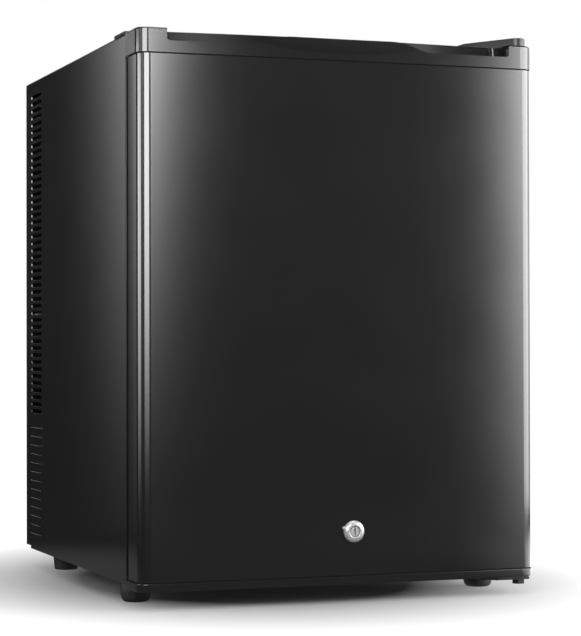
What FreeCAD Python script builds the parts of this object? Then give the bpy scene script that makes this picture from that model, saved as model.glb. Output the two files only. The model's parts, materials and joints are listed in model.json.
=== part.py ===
import FreeCAD, Part
import math
import os

# A bar fridge of the hotel kind, cooled by a thermoelectric module and two fans.
# Millimetres, +Z up, the door faces -Y and is hinged at its right edge (+X).
# The origin is on the floor, under the middle of the whole fridge.

# Driving sizes of the whole fridge
cabinet_width = 400.0
cabinet_height = 515.5
cabinet_depth = 410.5
foot_height = 20.5
door_stand_off = 46.2
lock_proud = 4.0

# Fits and clearances
running_clearance = 0.05
moving_gap = 0.3
seat_gap = 0.2
overrun = 1.0

# Sheet and wall thicknesses
case_sheet = 0.8
base_sheet = 1.2
bulkhead_sheet = 1.0
cover_wall = 1.2
liner_wall = 1.5
moulding_wall = 1.5

# Levels and planes that the pieces share
half_width = cabinet_width / 2
overall_depth = lock_proud + door_stand_off + cabinet_depth
door_front = lock_proud - overall_depth / 2
case_front = door_front + door_stand_off
case_back = case_front + cabinet_depth
case_bottom = foot_height
case_top = case_bottom + cabinet_height
base_top = case_bottom + base_sheet

# Steel wrapper: sides and top in one bent sheet
case_radius = 3.0
cover_depth = 21.0
wrapper_back = case_back - cover_depth
fold_front = wrapper_back - case_sheet
fold_width = 16.0

# Side vents: open slots above, hooded louvres below
slot_count = 46
slot_field_share = 0.6695
slot_pitch = cabinet_height * slot_field_share / (slot_count - 1)
slot_height_share = 0.58
slot_height = slot_pitch * slot_height_share
slot_length = 47.0
slot_corner = 1.2
top_slot_drop = 18.6
vent_edge_margin = 4.8
louvre_count = 13
louvre_field_share = 0.2249
louvre_pitch = cabinet_height * louvre_field_share / (louvre_count - 1)
louvre_height = louvre_pitch / 2
louvre_reach = 1.3
louvre_drop = 16.7
louvre_mouth = 0.5

# Walls round the cavity, which takes the room that they leave
side_wall = 38.0
top_wall = 39.0
floor_wall = 71.5
back_wall = 38.0
machine_space = 55.5
cavity_width = cabinet_width - side_wall * 2
cavity_depth = cabinet_depth - cover_depth - machine_space - bulkhead_sheet - back_wall
cavity_height = cabinet_height - top_wall - floor_wall
cavity_radius = 10.0
cavity_top = case_top - top_wall
cavity_bottom = cavity_top - cavity_height
cavity_half = cavity_width / 2
cavity_back = case_front + cavity_depth
bulkhead_front = cavity_back + back_wall
bulkhead_back = bulkhead_front + bulkhead_sheet
frame_depth = 4.0
frame_back = case_front + frame_depth

# Wire shelves and the ledges that carry them
shelf_levels_share = (0.33, 0.66)
ledge_width = 7.0
ledge_height = 5.0
shelf_front_set_back = 72.0
duct_depth = 38.0
shelf_rear_gap = 3.0
shelf_depth = cavity_depth - shelf_front_set_back - duct_depth - shelf_rear_gap
shelf_side_gap = 1.5
rail_diameter = 4.0
wire_diameter = 2.6
wire_count = 13
wire_margin = 7.0
shelf_corner = 12.0
weld_sink = 0.5

# Door
panel_side_inset = 0.4
panel_radius = 11.2
panel_depth = 39.0
upper_cap_height = 23.8
lower_cap_height = 8.8
door_overhang = 2.8
cap_side_reach = 1.5
cap_front_reach = 1.5
cap_depth = 44.7
cap_free_corner = 10.7
cap_hinge_corner = 16.0
cap_back_corner = 2.0
cap_edge_round = 1.6
seam_gap = 1.1
door_top_drop = 0.5
door_bottom = case_bottom - door_overhang
lower_seam = door_bottom + lower_cap_height
door_top = case_top - door_top_drop
upper_seam = door_top - upper_cap_height
panel_half = half_width - panel_side_inset
cap_half = half_width + cap_side_reach
cap_front = door_front - cap_front_reach
cap_back = cap_front + cap_depth
panel_back = door_front + panel_depth

# Finger-pull trough in the top cap
end_block_width = 28.0
trough_half = cap_half - end_block_width
hump_share = 0.29
lip_height = 12.0
lip_thickness = 4.0
hump_rise = 9.4
hump_half = trough_half * hump_share
wave_width = 46.0
notch_radius = 3.0
trough_floor_wall = 2.8
trough_depth_at_ends = 23.5
trough_depth_at_middle = 14.5
trough_end_radius = 9.0
scoop_share = 0.62
scoop_half_width = trough_half * scoop_share
scoop_height = 17.0
scoop_depth = 2.2
cap_hollow_wall = 2.2

# Hinge line
hinge_inset = 10.0
hinge_set_back = 16.0
pin_radius = 4.0
hinge_x = half_width - hinge_inset
hinge_y = door_front + hinge_set_back
bush_wall = 2.2
bush_depth = 13.5
bush_flange_radius = 9.0
bush_flange = 0.7
pin_head_radius = 5.5
pin_head = 1.6
pin_tip_gap = 1.2

# Hinge bracket and cover on top of the case
bracket_sheet = 2.5
knuckle_radius = 8.0
hinge_cover_height = 8.4
hinge_cover_wall = 1.5
hinge_cover_reach = 46.0
hinge_cover_left = half_width - hinge_cover_reach
hinge_cover_nose = 62.0
hinge_cover_back = 92.0
hinge_cover_side_inset = 1.6
bracket_inset = 2.0
blank_cover_height = 3.0
blank_cover_front = 52.0
blank_cover_chamfer = 1.6

# Hinge bracket under the case
lower_bracket_reach = 50.0
lower_bracket_left = half_width - lower_bracket_reach
lower_bracket_depth = 22.0
lower_bracket_drop = 1.0
lower_screw_count = 3
gusset_width = 3.0
gusset_height = 4.6
gusset_front = 14.0
nut_radius = 6.5
nut_height = 4.6
nut_sides = 6

# Screws
screw_radius = 2.0
screw_head_radius = 4.0
screw_head = 1.8
screw_length = 9.0
screw_margin = 8.0

# Feet
foot_radius = 15.0
foot_base_radius = 13.0
foot_side_inset = 21.0
foot_set_back = 87.0
foot_stem_radius = 4.0
foot_stem_length = 24.0
foot_socket_radius = 9.0
foot_socket_height = 14.0
rear_foot_radius = 14.0
rear_foot_inset = 31.0
rear_foot_from_back = 56.7

# Door seal, liner and foam
gasket_width = 12.0
gasket_inset = 13.0
gasket_rebate = 1.2
dyke_side_gap = 12.0
dyke_half = cavity_half - dyke_side_gap
dyke_depth = 16.0
dyke_bottom_gap = 23.0
dyke_top_gap = 12.0
bin_side_gap = 7.0
bin_half = dyke_half - bin_side_gap
bin_depth = 57.0
bin_wall = 2.0
bin_corner = 14.0
lower_bin_lift = 12.0
lower_bin_height = 74.0
upper_bin_share = 0.58
upper_bin_height = 60.0
bin_rail_radius = 2.5

# Cam lock
lock_x = 10.0
lock_below_cavity = 24.6
lock_height = cavity_bottom - lock_below_cavity
bezel_radius = 10.3
bezel_rim = 1.2
bezel_ear_radius = 1.9
bezel_ear_height = 2.4
bezel_ear_x = -9.8
bezel_ear_z = 3.2
bezel_dome_shares = ((0.62, 1.0), (0.84, 0.82), (0.96, 0.5))
barrel_radius = 8.0
barrel_nose_radius = 6.0
plug_radius = 5.0
plug_set_in = 0.6
keyway_width = 1.8
keyway_height = 7.0
keyway_depth = 3.0
lock_nut_radius = 11.5
lock_nut_thickness = 4.0
cam_thickness = 2.5
cam_width = 10.0
cam_length = 24.0
cam_gap = 0.8
cam_screw_radius = 3.5
cam_screw_head = 2.0
keeper_sheet = 2.0
keeper_slot_width = 19.0
keeper_slot_below = 26.0
keeper_slot_above = 8.0
keeper_pocket_side = 28.0
keeper_pocket_below = 28.0
keeper_pocket_above = 12.0
keeper_pocket_depth = 12.0
keeper_wall = 1.5
keeper_frame_margin = 4.0

# Cooling unit
module_height_share = 0.5136
module_height = cavity_height * module_height_share
module_side = 40.0
module_thickness = 4.0
block_clearance = 0.3
cold_plate_side = 120.0
cold_plate_thickness = 3.0
cold_fin_depth = 15.0
cold_fin_thickness = 1.2
cold_fin_count = 11
cold_fan_side = 80.0
cold_fan_depth = 15.0
duct_half_width = 78.0
duct_half_height = 86.0
duct_slot_height = 5.0
duct_slot_pitch = 9.0
duct_outlet_height = 8.0
hot_plate_side = 126.0
hot_plate_thickness = 6.0
hot_fin_depth = 30.0
hot_fin_thickness = 1.6
hot_fin_count = 15
hot_fan_side = 92.0
hot_fan_depth = 25.0
fan_corner = 5.0
fan_strut_width = 4.0
fan_strut_depth = 2.5
fan_wall = 2.0
fan_tip_gap = 1.2
fan_end_gap = 1.0
fan_shaft_radius = 2.0
fan_blade_thickness = 1.4
fan_blade_count = 7
fan_blade_angle = 38.0
fan_hub_share = 0.22
blade_root_share = 0.8

# Drain
channel_height = 13.0
channel_depth = 24.0
channel_wall = 1.5
channel_gap = 1.0
drain_radius = 4.5
drain_wall = 1.0
drain_bend = 9.0
drain_set_back = 16.0
tray_height = 20.0
tray_wall = 1.5
tray_margin = 2.5
drain_air_gap = 6.0

# Rear cover
grille_count = 18
grille_slot_height = 5.0
grille_slot_width_share = 0.295
grille_slot_width = cabinet_width * grille_slot_width_share
grille_pitch = 11.0
grille_gap = 24.0
grille_low_share = 0.52
grille_reach = (grille_count - 1) * grille_pitch + grille_slot_height
grille_bottom = case_bottom + (cabinet_height - grille_reach) * grille_low_share
cover_lift = 3.0
well_radius = 6.5
well_wall = 1.5
well_levels_share = (0.08, 0.5, 0.92)
well_inset = 8.2

# Air slots in the base pan
air_slot_rows = 3
air_slot_height = 5.0
air_slot_margin = 20.0
air_slot_from_side = 46.0

# Electrical pieces
inlet_from_side = 90.0
inlet_x = inlet_from_side - half_width
inlet_height = 62.0
inlet_width = 28.0
inlet_body_height = 20.0
inlet_depth = 18.0
inlet_flange_side = 11.0
inlet_flange = 2.0
inlet_recess_wall = 2.0
inlet_recess_depth = 15.0
inlet_pin_width = 2.0
inlet_pin_height = 4.0
inlet_pin_length = 12.0
inlet_pin_spacing = 7.0
inlet_pin_drop = 2.5
supply_from_side = 22.0
supply_width = 112.0
supply_left = half_width - supply_from_side - supply_width
supply_tray_gap = 11.0
tray_half_width = supply_left - supply_tray_gap
supply_height = 46.0
supply_depth = 44.0
supply_gap = 3.0
supply_corner = 2.0
supply_vent_count = 9
supply_vent_margin = 12.0
board_from_side = 40.0
board_left = board_from_side - half_width
board_bottom = 110.0
board_width = 84.0
board_height = 60.0
board_thickness = 1.6
board_stand_off = 6.0
board_post_radius = 3.0
board_post_margin = 6.0
capacitor_radius = 8.0
capacitor_height = 18.0
relay_side = 16.0
relay_margin = 10.0

# Light and thermostat housing under the cavity's ceiling
housing_half = 66.0
housing_height = 27.0
housing_depth = 50.0
housing_corner = 6.0
lens_from_side = 12.0
lens_left = lens_from_side - housing_half
lens_width = 62.0
lens_depth = 30.0
lens_drop = 4.0
lens_set_back = 9.0
knob_from_side = 28.0
knob_x = housing_half - knob_from_side
knob_radius = 11.0
knob_depth = 11.0
knob_grip_width = 5.0
knob_grip_depth = 4.0
knob_face_share = 0.92
knob_grip_share = 0.86
knob_shaft_radius = 3.0
knob_shaft_length = 9.0
lamp_board_thickness = 1.6

# Lamp switch, a reed switch and its magnet
reed_from_side = 80.0
reed_x = reed_from_side - half_width
reed_height = 66.0
reed_length = 30.0
reed_side = 8.0

# How far along a quarter bend its middle lies, and how straight an edge is to count as straight
bend_middle_share = 1 - math.sqrt(0.5)
aligned_share = 0.999
same_place = 0.001
axes = {"x": FreeCAD.Vector(1, 0, 0), "y": FreeCAD.Vector(0, 1, 0), "z": FreeCAD.Vector(0, 0, 1)}


# Shape helpers


def point(x, y, z):
    """A point of the model."""
    return FreeCAD.Vector(x, y, z)


def block(x_low, x_high, y_low, y_high, z_low, z_high):
    """A rectangular block between two corners."""
    return Part.makeBox(x_high - x_low, y_high - y_low, z_high - z_low, point(x_low, y_low, z_low))


def rod(radius, start, end):
    """A round rod between two points."""
    run = end - start
    return Part.makeCylinder(radius, run.Length, start, run)


def join(shapes):
    """One solid from overlapping or touching shapes."""
    shapes = list(shapes)
    if len(shapes) == 1:
        return shapes[0]
    return shapes[0].multiFuse(shapes[1:]).removeSplitter()


def lift(axis, u, v, along):
    """A point from its two coordinates across an axis and its place along that axis."""
    if axis == "x":
        return point(along, u, v)
    if axis == "y":
        return point(u, along, v)
    return point(u, v, along)


def prism(outline, axis, low, high):
    """A straight-sided outline, given across an axis, pushed from low to high along it."""
    corners = [lift(axis, u, v, low) for u, v in outline]
    wire = Part.makePolygon(corners + corners[:1])
    return Part.Face(wire).extrude(axes[axis] * (high - low))


def turned(profile, axis, centre):
    """A turned piece: the profile holds (radius, place along the axis) pairs."""
    side = "x" if axis != "x" else "z"
    corners = [centre + axes[side] * r + axes[axis] * along for r, along in profile]
    wire = Part.makePolygon(corners + corners[:1])
    return Part.Face(wire).revolve(centre, axes[axis], 360)


def straight_edges(shape, axis, keep=None):
    """The straight edges along an axis, all of them or those whose middle is accepted."""
    found = []
    for edge in shape.Edges:
        if len(edge.Vertexes) != 2:
            continue
        start, end = (vertex.Point for vertex in edge.Vertexes)
        run = end - start
        if abs(run.dot(axes[axis])) < aligned_share * edge.Length:
            continue
        if keep is None or keep((start + end) / 2):
            found.append(edge)
    return found


def soften(shape, axis, radius, keep=None):
    """Rounds the straight edges along an axis."""
    return shape.makeFillet(radius, straight_edges(shape, axis, keep))


def soften_rim(shape, level, radius):
    """Rounds all edges that lie at one level."""
    rim = [edge for edge in shape.Edges if all(abs(v.Z - level) < same_place for v in edge.Vertexes)]
    return shape.makeFillet(radius, rim)


def bevel(shape, axis, size, keep=None):
    """Bevels the straight edges along an axis."""
    return shape.makeChamfer(size, straight_edges(shape, axis, keep))


def spread(count, low, high):
    """Evenly spaced places from low to high, both included."""
    return [low + (high - low) * index / (count - 1) for index in range(count)]


def mirrored(shape):
    """The same shape on the other side of the fridge."""
    return shape.mirror(point(0, 0, 0), axes["x"])


def screw(head_centre, direction):
    """A pan-head screw whose head stands on head_centre and whose shank runs along direction."""
    head = rod(screw_head_radius, head_centre - direction * screw_head, head_centre)
    shank = rod(screw_radius, head_centre, head_centre + direction * screw_length)
    return head.fuse(shank)


# Case


def case_block(inset, y_low, y_high, z_low):
    """The section of the case with its rounded top edges, smaller by the inset."""
    raw = block(inset - half_width, half_width - inset, y_low, y_high, z_low, case_top - inset)
    middle = (z_low + case_top) / 2
    return soften(raw, "y", case_radius - inset, lambda p: p.z > middle)


def slot_outline(y_low, y_high, z_low, z_high, cut):
    """A slot's outline with its four corners cut."""
    return [
        (y_low + cut, z_low), (y_high - cut, z_low), (y_high, z_low + cut), (y_high, z_high - cut),
        (y_high - cut, z_high), (y_low + cut, z_high), (y_low, z_high - cut), (y_low, z_low + cut),
    ]


def vent_slots():
    """The open slots, cut right through both sides at once."""
    y_high = wrapper_back - vent_edge_margin
    top = case_top - top_slot_drop
    cuts = []
    for index in range(slot_count):
        middle = top - index * slot_pitch
        outline = slot_outline(
            y_high - slot_length, y_high, middle - slot_height / 2, middle + slot_height / 2, slot_corner)
        cuts.append(prism(outline, "x", -half_width - overrun, half_width + overrun))
    return Part.makeCompound(cuts)


def louvre_levels():
    """Heights of the hooded louvres, from the top one down."""
    first = case_top - top_slot_drop - (slot_count - 1) * slot_pitch - louvre_drop
    return [first - index * louvre_pitch for index in range(louvre_count)]


def louvre_hood(level):
    """One pressed hood on the right side, open downwards, as (hood, its opening)."""
    y_high = wrapper_back - vent_edge_margin
    y_low = y_high - slot_length
    face = half_width
    high = level + louvre_height / 2
    low = level - louvre_height / 2
    hood = prism([(face, high), (face + louvre_reach, low), (face, low)], "y", y_low, y_high)
    inner = [
        (face - case_sheet - overrun, high - case_sheet - louvre_mouth),
        (face, high - case_sheet - louvre_mouth),
        (face + louvre_reach - louvre_mouth, low + louvre_mouth),
        (face + louvre_reach - louvre_mouth, low - overrun),
        (face, low - overrun),
        (face, low),
        (face - case_sheet - overrun, low),
    ]
    mouth = prism([(v, u) for v, u in inner], "y", y_low + case_sheet, y_high - case_sheet)
    return hood, mouth


def outer_wrapper(holes):
    """The bent steel sheet of both sides and the top, with its vents and rear fold."""
    skin = case_block(0, case_front, wrapper_back, case_bottom)
    inside = case_block(case_sheet, case_front - overrun, fold_front, case_bottom - overrun)
    rear_opening = block(
        fold_width - half_width, half_width - fold_width, fold_front - overrun, wrapper_back + overrun,
        case_bottom - overrun, case_top - fold_width)
    skin = skin.cut([inside, rear_opening])
    hoods = [louvre_hood(level) for level in louvre_levels()]
    right = [hood for hood, mouth in hoods]
    mouths = [mouth for hood, mouth in hoods]
    skin = skin.multiFuse(right + [mirrored(hood) for hood in right])
    return skin.cut([vent_slots()] + mouths + [mirrored(mouth) for mouth in mouths] + holes)


def cavity_block(grow, y_low, y_high):
    """The cavity's rounded section, larger by grow all round."""
    raw = block(
        -cavity_half - grow, cavity_half + grow, y_low, y_high, cavity_bottom - grow, cavity_top + grow)
    return soften(raw, "y", cavity_radius + grow)


def module_hole(y_low, y_high, grow):
    """The square way through the back wall for the cooling block."""
    half = module_side / 2 + grow
    return block(-half, half, y_low, y_high, module_z - half, module_z + half)


module_z = cavity_bottom + module_height
channel_top = module_z - duct_half_height - channel_gap
channel_bottom = channel_top - channel_height
drain_z = channel_bottom + drain_radius + channel_wall
shelf_levels = [cavity_bottom + cavity_height * share for share in shelf_levels_share]
shelf_front = case_front + shelf_front_set_back
shelf_back = shelf_front + shelf_depth


def drain_hole(y_low, y_high):
    """The round way through the back wall for the drain."""
    return rod(drain_radius, point(0, y_low, drain_z), point(0, y_high, drain_z))


def inner_liner():
    """The moulded lining of the cavity, with ledges for the shelves."""
    liner = cavity_block(liner_wall, case_front, cavity_back + liner_wall)
    liner = liner.cut(cavity_block(0, case_front - overrun, cavity_back))
    ledges = []
    for level in shelf_levels:
        ledge = block(
            cavity_half - ledge_width, cavity_half + liner_wall / 2, shelf_front, shelf_back,
            level - ledge_height, level)
        ledge = bevel(
            ledge, "y", ledge_height / 2,
            lambda p: p.x < cavity_half - ledge_width / 2 and p.z < level - ledge_height / 2)
        ledges += [ledge, mirrored(ledge)]
    liner = liner.multiFuse(ledges)
    cuts = [
        module_hole(cavity_back - overrun, cavity_back + liner_wall + overrun, block_clearance),
        drain_hole(cavity_back - overrun, cavity_back + liner_wall + overrun),
    ]
    return liner.cut(cuts).removeSplitter()


def front_frame():
    """The plastic frame that closes the insulation between the wrapper and the liner."""
    frame = case_block(case_sheet, case_front, frame_back, base_top)
    frame = frame.cut(cavity_block(liner_wall, case_front - overrun, frame_back + overrun))
    half = keeper_slot_width / 2 + keeper_frame_margin
    slot = block(
        lock_x - half, lock_x + half, case_front - overrun, frame_back + overrun,
        lock_height - keeper_slot_below - keeper_frame_margin,
        lock_height + keeper_slot_above + keeper_frame_margin)
    return frame.cut(soften(slot, "y", keeper_frame_margin))


def lock_keeper():
    """The steel strike plate with its upright slot and the pocket behind it."""
    back = frame_back + keeper_sheet
    pocket_x = (lock_x - keeper_pocket_side, lock_x + keeper_pocket_side)
    pocket_z = (lock_height - keeper_pocket_below, lock_height + keeper_pocket_above)
    body = block(
        pocket_x[0] - keeper_wall, pocket_x[1] + keeper_wall, frame_back,
        back + keeper_pocket_depth + keeper_wall, pocket_z[0] - keeper_wall, pocket_z[1] + keeper_wall)
    hollow = block(*pocket_x, back, back + keeper_pocket_depth, *pocket_z)
    slot = block(
        lock_x - keeper_slot_width / 2, lock_x + keeper_slot_width / 2, frame_back - overrun, back + overrun,
        lock_height - keeper_slot_below, lock_height + keeper_slot_above)
    return body.cut([hollow, slot])


def keeper_space():
    """The block of insulation that the keeper takes."""
    return block(
        lock_x - keeper_pocket_side - keeper_wall, lock_x + keeper_pocket_side + keeper_wall, frame_back,
        frame_back + keeper_sheet + keeper_pocket_depth + keeper_wall,
        lock_height - keeper_pocket_below - keeper_wall, lock_height + keeper_pocket_above + keeper_wall)


def foot_places():
    """The middle of each front foot, left then right."""
    y = door_front + foot_set_back
    return [(-half_width + foot_side_inset, y), (half_width - foot_side_inset, y)]


def rear_foot_places():
    """The middle of each rear foot, left then right."""
    y = case_back - rear_foot_from_back
    return [(-half_width + rear_foot_inset, y), (half_width - rear_foot_inset, y)]


def foot_sockets():
    """The threaded sockets of the front feet, standing on the base pan inside the insulation."""
    sockets = []
    for x, y in foot_places():
        outer = rod(foot_socket_radius, point(x, y, base_top), point(x, y, base_top + foot_socket_height))
        bore = rod(
            foot_stem_radius + running_clearance, point(x, y, base_top - overrun),
            point(x, y, base_top + foot_socket_height + overrun))
        sockets.append(outer.cut(bore))
    return Part.makeCompound(sockets)


def foot_space():
    """The round wells in the insulation over the front feet."""
    height = foot_stem_length + foot_height
    return [rod(foot_socket_radius, point(x, y, base_top), point(x, y, height)) for x, y in foot_places()]


def cabinet_foam(holes):
    """The insulation foamed between the wrapper, the liner and the bulkhead."""
    foam = case_block(case_sheet, frame_back, bulkhead_front, base_top)
    cuts = [
        cavity_block(liner_wall, frame_back - overrun, cavity_back + liner_wall),
        module_hole(cavity_back, bulkhead_front + overrun, block_clearance),
        drain_hole(cavity_back, bulkhead_front + overrun),
        keeper_space(),
        reed_switch(),
    ]
    return foam.cut(cuts + foot_space() + holes)


def bulkhead():
    """The steel sheet behind the insulation, the front wall of the machine space."""
    sheet = case_block(case_sheet, bulkhead_front, bulkhead_back, base_top)
    cuts = [
        module_hole(bulkhead_front - overrun, bulkhead_back + overrun, block_clearance),
        drain_hole(bulkhead_front - overrun, bulkhead_back + overrun),
    ]
    return sheet.cut(cuts)


def base_pan(holes):
    """The steel floor of the case with holes for the foot stems and air slots at the back."""
    pan = block(
        case_sheet - half_width, half_width - case_sheet, case_front, fold_front, case_bottom, base_top)
    cuts = [
        rod(
            foot_stem_radius + running_clearance, point(x, y, case_bottom - overrun),
            point(x, y, base_top + overrun))
        for x, y in foot_places()
    ]
    air_low = bulkhead_back + tray_margin
    air_high = fold_front - tray_margin
    inner = tray_half_width + air_slot_margin
    outer = half_width - air_slot_from_side
    for low, high in ((-outer, -inner), (inner, outer)):
        for y in spread(air_slot_rows, air_low + air_slot_height, air_high - air_slot_height):
            cuts.append(block(
                low, high, y - air_slot_height / 2, y + air_slot_height / 2,
                case_bottom - overrun, base_top + overrun))
    return pan.cut(cuts + holes)


# Rear cover and its screws


def well_places():
    """The middle of each screw well on the rear cover."""
    x = half_width - well_inset
    levels = [case_bottom + cabinet_height * share for share in well_levels_share]
    return [(side * x, level) for side in (-1, 1) for level in levels]


def rear_cover():
    """The moulded cover of the machine space: a shallow tray with a grille and screw wells."""
    bottom = case_bottom + cover_lift
    tray = case_block(0, wrapper_back, case_back, bottom)
    tray = tray.cut(block(
        cover_wall - half_width, half_width - cover_wall, wrapper_back - overrun, case_back - cover_wall,
        bottom + cover_wall, case_top - case_radius))
    wells = []
    bores = []
    for x, z in well_places():
        wells.append(rod(well_radius, point(x, wrapper_back, z), point(x, case_back, z)))
        bores.append(rod(
            well_radius - well_wall, point(x, wrapper_back + well_wall, z), point(x, case_back + overrun, z)))
        bores.append(rod(screw_radius, point(x, wrapper_back - overrun, z), point(x, case_back, z)))
    tray = tray.multiFuse(wells)
    slots = []
    step = (grille_slot_width + grille_gap) / 2
    for x in (-step, step):
        for index in range(grille_count):
            z = grille_bottom + index * grille_pitch
            slots.append(block(
                x - grille_slot_width / 2, x + grille_slot_width / 2, case_back - cover_wall - overrun,
                case_back + overrun, z, z + grille_slot_height))
    inlet = block(
        inlet_x - inlet_width / 2, inlet_x + inlet_width / 2, case_back - cover_wall - overrun,
        case_back + overrun, inlet_height - inlet_body_height / 2, inlet_height + inlet_body_height / 2)
    return tray.cut(slots + bores + [inlet])


def rear_cover_screws():
    """The screws at the bottom of the wells, driven into the wrapper's fold."""
    return [screw(point(x, wrapper_back + well_wall, z), -axes["y"]) for x, z in well_places()]


# Hinges


def tangent_point(corner, centre, radius):
    """Where the line from a corner touches a circle, on the side that faces the door's left."""
    across = corner[0] - centre[0]
    along = corner[1] - centre[1]
    length = math.hypot(across, along)
    turn = math.atan2(along, across) + math.acos(radius / length)
    return centre[0] + radius * math.cos(turn), centre[1] + radius * math.sin(turn)


def hinge_plan(inset, low, high):
    """The hinge's plan: a round knuckle over the pin and a tail over the case, smaller by the inset."""
    radius = knuckle_radius - inset
    nose = (hinge_cover_left + inset, door_front + hinge_cover_nose + inset)
    back = door_front + hinge_cover_back - inset
    right = half_width - hinge_cover_side_inset - inset
    touch = tangent_point(nose, (hinge_x, hinge_y), radius)
    reach = min(right, hinge_x + radius)
    outline = [nose, touch, (hinge_x, hinge_y), (reach, hinge_y), (reach, back), (nose[0], back)]
    tail = prism(outline, "z", low, high)
    knuckle = rod(radius, point(hinge_x, hinge_y, low), point(hinge_x, hinge_y, high))
    return tail.fuse(knuckle).removeSplitter()


def bracket_screw_places():
    """The screws of the upper hinge bracket, on the part that lies on the case."""
    left = hinge_cover_left + bracket_inset + screw_margin
    right = half_width - hinge_cover_side_inset - bracket_inset - screw_margin
    back = door_front + hinge_cover_back - bracket_inset - screw_margin
    return [(left, back), (right, back)]


def top_screws():
    """The screws that hold the upper hinge bracket."""
    top = case_top + bracket_sheet
    return [screw(point(x, y, top), -axes["z"]) for x, y in bracket_screw_places()]


def lower_screws():
    """The screws that hold the lower hinge bracket."""
    y = case_front + lower_bracket_depth / 2 + overrun
    places = spread(lower_screw_count, lower_bracket_left + screw_margin, hinge_x)
    return [screw(point(x, y, case_bottom - bracket_sheet), axes["z"]) for x in places]


def top_hinge_bracket(holes):
    """The flat steel bracket that reaches from the case over the door."""
    plate = hinge_plan(hinge_cover_wall + bracket_inset, case_top, case_top + bracket_sheet)
    pin = rod(
        pin_radius, point(hinge_x, hinge_y, case_top - overrun),
        point(hinge_x, hinge_y, case_top + bracket_sheet + overrun))
    return plate.cut(holes + [pin])


def top_hinge_pin():
    """The pin that drops from the bracket into the door's upper bush."""
    foot = point(hinge_x, hinge_y, case_top + bracket_sheet)
    tip = point(hinge_x, hinge_y, door_top - bush_depth + pin_tip_gap)
    return join([rod(pin_radius, tip, foot), rod(pin_head_radius, foot, foot + axes["z"] * pin_head)])


def hinge_cover():
    """The black cover over the upper hinge."""
    top = case_top + hinge_cover_height
    outer = hinge_plan(0, case_top, top)
    inner = hinge_plan(hinge_cover_wall, case_top - overrun, top - hinge_cover_wall)
    return outer.cut(inner)


def blank_hinge_cover():
    """The low cover on the spare hinge place at the left."""
    left = -half_width + hinge_cover_side_inset
    plate = block(
        left, -hinge_cover_left, door_front + blank_cover_front, door_front + hinge_cover_back,
        case_top, case_top + blank_cover_height)
    middle = case_top + blank_cover_height / 2
    plate = bevel(plate, "x", blank_cover_chamfer, lambda p: p.z > middle)
    return plate


def bottom_hinge_bracket(holes):
    """The joggled steel bracket under the case, with a gusset and a hole for the pin."""
    tongue_top = door_bottom - lower_bracket_drop
    tongue_bottom = tongue_top - bracket_sheet
    front = hinge_y - knuckle_radius
    rear = case_front + lower_bracket_depth + bracket_sheet
    right = hinge_x + knuckle_radius
    riser_back = case_front + bracket_sheet * 2
    tongue = block(lower_bracket_left, right, front, riser_back, tongue_bottom, tongue_top)
    tongue = bevel(tongue, "z", gusset_front, lambda p: p.y < hinge_y and p.x < hinge_x)
    riser_front = riser_back - bracket_sheet
    riser = block(lower_bracket_left, right, riser_front, riser_back, tongue_bottom, case_bottom)
    plate = block(lower_bracket_left, right, riser_front, rear, case_bottom - bracket_sheet, case_bottom)
    gusset_x = lower_bracket_left + gusset_front + gusset_width * 2
    web = [
        (front + gusset_front, tongue_bottom), (riser_back, tongue_bottom),
        (riser_back, tongue_bottom - gusset_height)]
    gusset = prism(web, "x", gusset_x, gusset_x + gusset_width)
    pin = rod(
        pin_radius, point(hinge_x, hinge_y, tongue_bottom - overrun),
        point(hinge_x, hinge_y, tongue_top + overrun))
    return join([tongue, riser, plate, gusset]).cut(holes + [pin])


def bottom_hinge_pin():
    """The pin that stands up from the lower bracket, held by a nut under it."""
    tongue_top = door_bottom - lower_bracket_drop
    tongue_bottom = tongue_top - bracket_sheet
    nut = prism(hexagon(nut_radius, hinge_x, hinge_y), "z", tongue_bottom - nut_height, tongue_bottom)
    shank = rod(
        pin_radius, point(hinge_x, hinge_y, tongue_bottom - nut_height),
        point(hinge_x, hinge_y, lower_seam - seat_gap))
    return join([shank, nut])


def hexagon(radius, u, v):
    """The corners of a nut's hexagon."""
    turns = [math.tau * index / nut_sides for index in range(nut_sides)]
    return [(u + radius * math.cos(turn), v + radius * math.sin(turn)) for turn in turns]


# Feet


def front_foot(x, y):
    """One levelling foot: a round pad on a threaded stem."""
    top = case_bottom - moving_gap
    pad = turned(
        [(0, 0), (foot_base_radius, 0), (foot_radius, foot_radius - foot_base_radius), (foot_radius, top),
         (0, top)],
        "z", point(x, y, 0))
    stem = rod(foot_stem_radius, point(x, y, top), point(x, y, foot_height + foot_stem_length - overrun))
    return join([pad, stem])


def rear_feet():
    """The two fixed feet at the back."""
    profile = [
        (0, 0), (rear_foot_radius - foot_radius + foot_base_radius, 0),
        (rear_foot_radius, foot_radius - foot_base_radius), (rear_foot_radius, case_bottom), (0, case_bottom)]
    return Part.makeCompound([turned(profile, "z", point(x, y, 0)) for x, y in rear_foot_places()])


# Door


def panel_block(inset, y_low, y_high, z_low, z_high):
    """The door's section between its seams, with rounded front edges, smaller by the inset."""
    raw = block(inset - panel_half, panel_half - inset, y_low, y_high, z_low, z_high)
    middle = (y_low + y_high) / 2
    return soften(raw, "z", panel_radius - inset, lambda p: p.y < middle)


def door_panel(holes):
    """The steel skin of the door, bent round both upright edges."""
    skin = panel_block(0, door_front, panel_back, lower_seam, upper_seam)
    inner = panel_block(
        case_sheet, door_front + case_sheet, panel_back + overrun, lower_seam - overrun, upper_seam + overrun)
    return skin.cut([inner] + holes)


def dyke_levels():
    """Lowest and highest level of the raised middle of the door's inner panel."""
    return cavity_bottom + dyke_bottom_gap, cavity_top - dyke_top_gap


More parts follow.
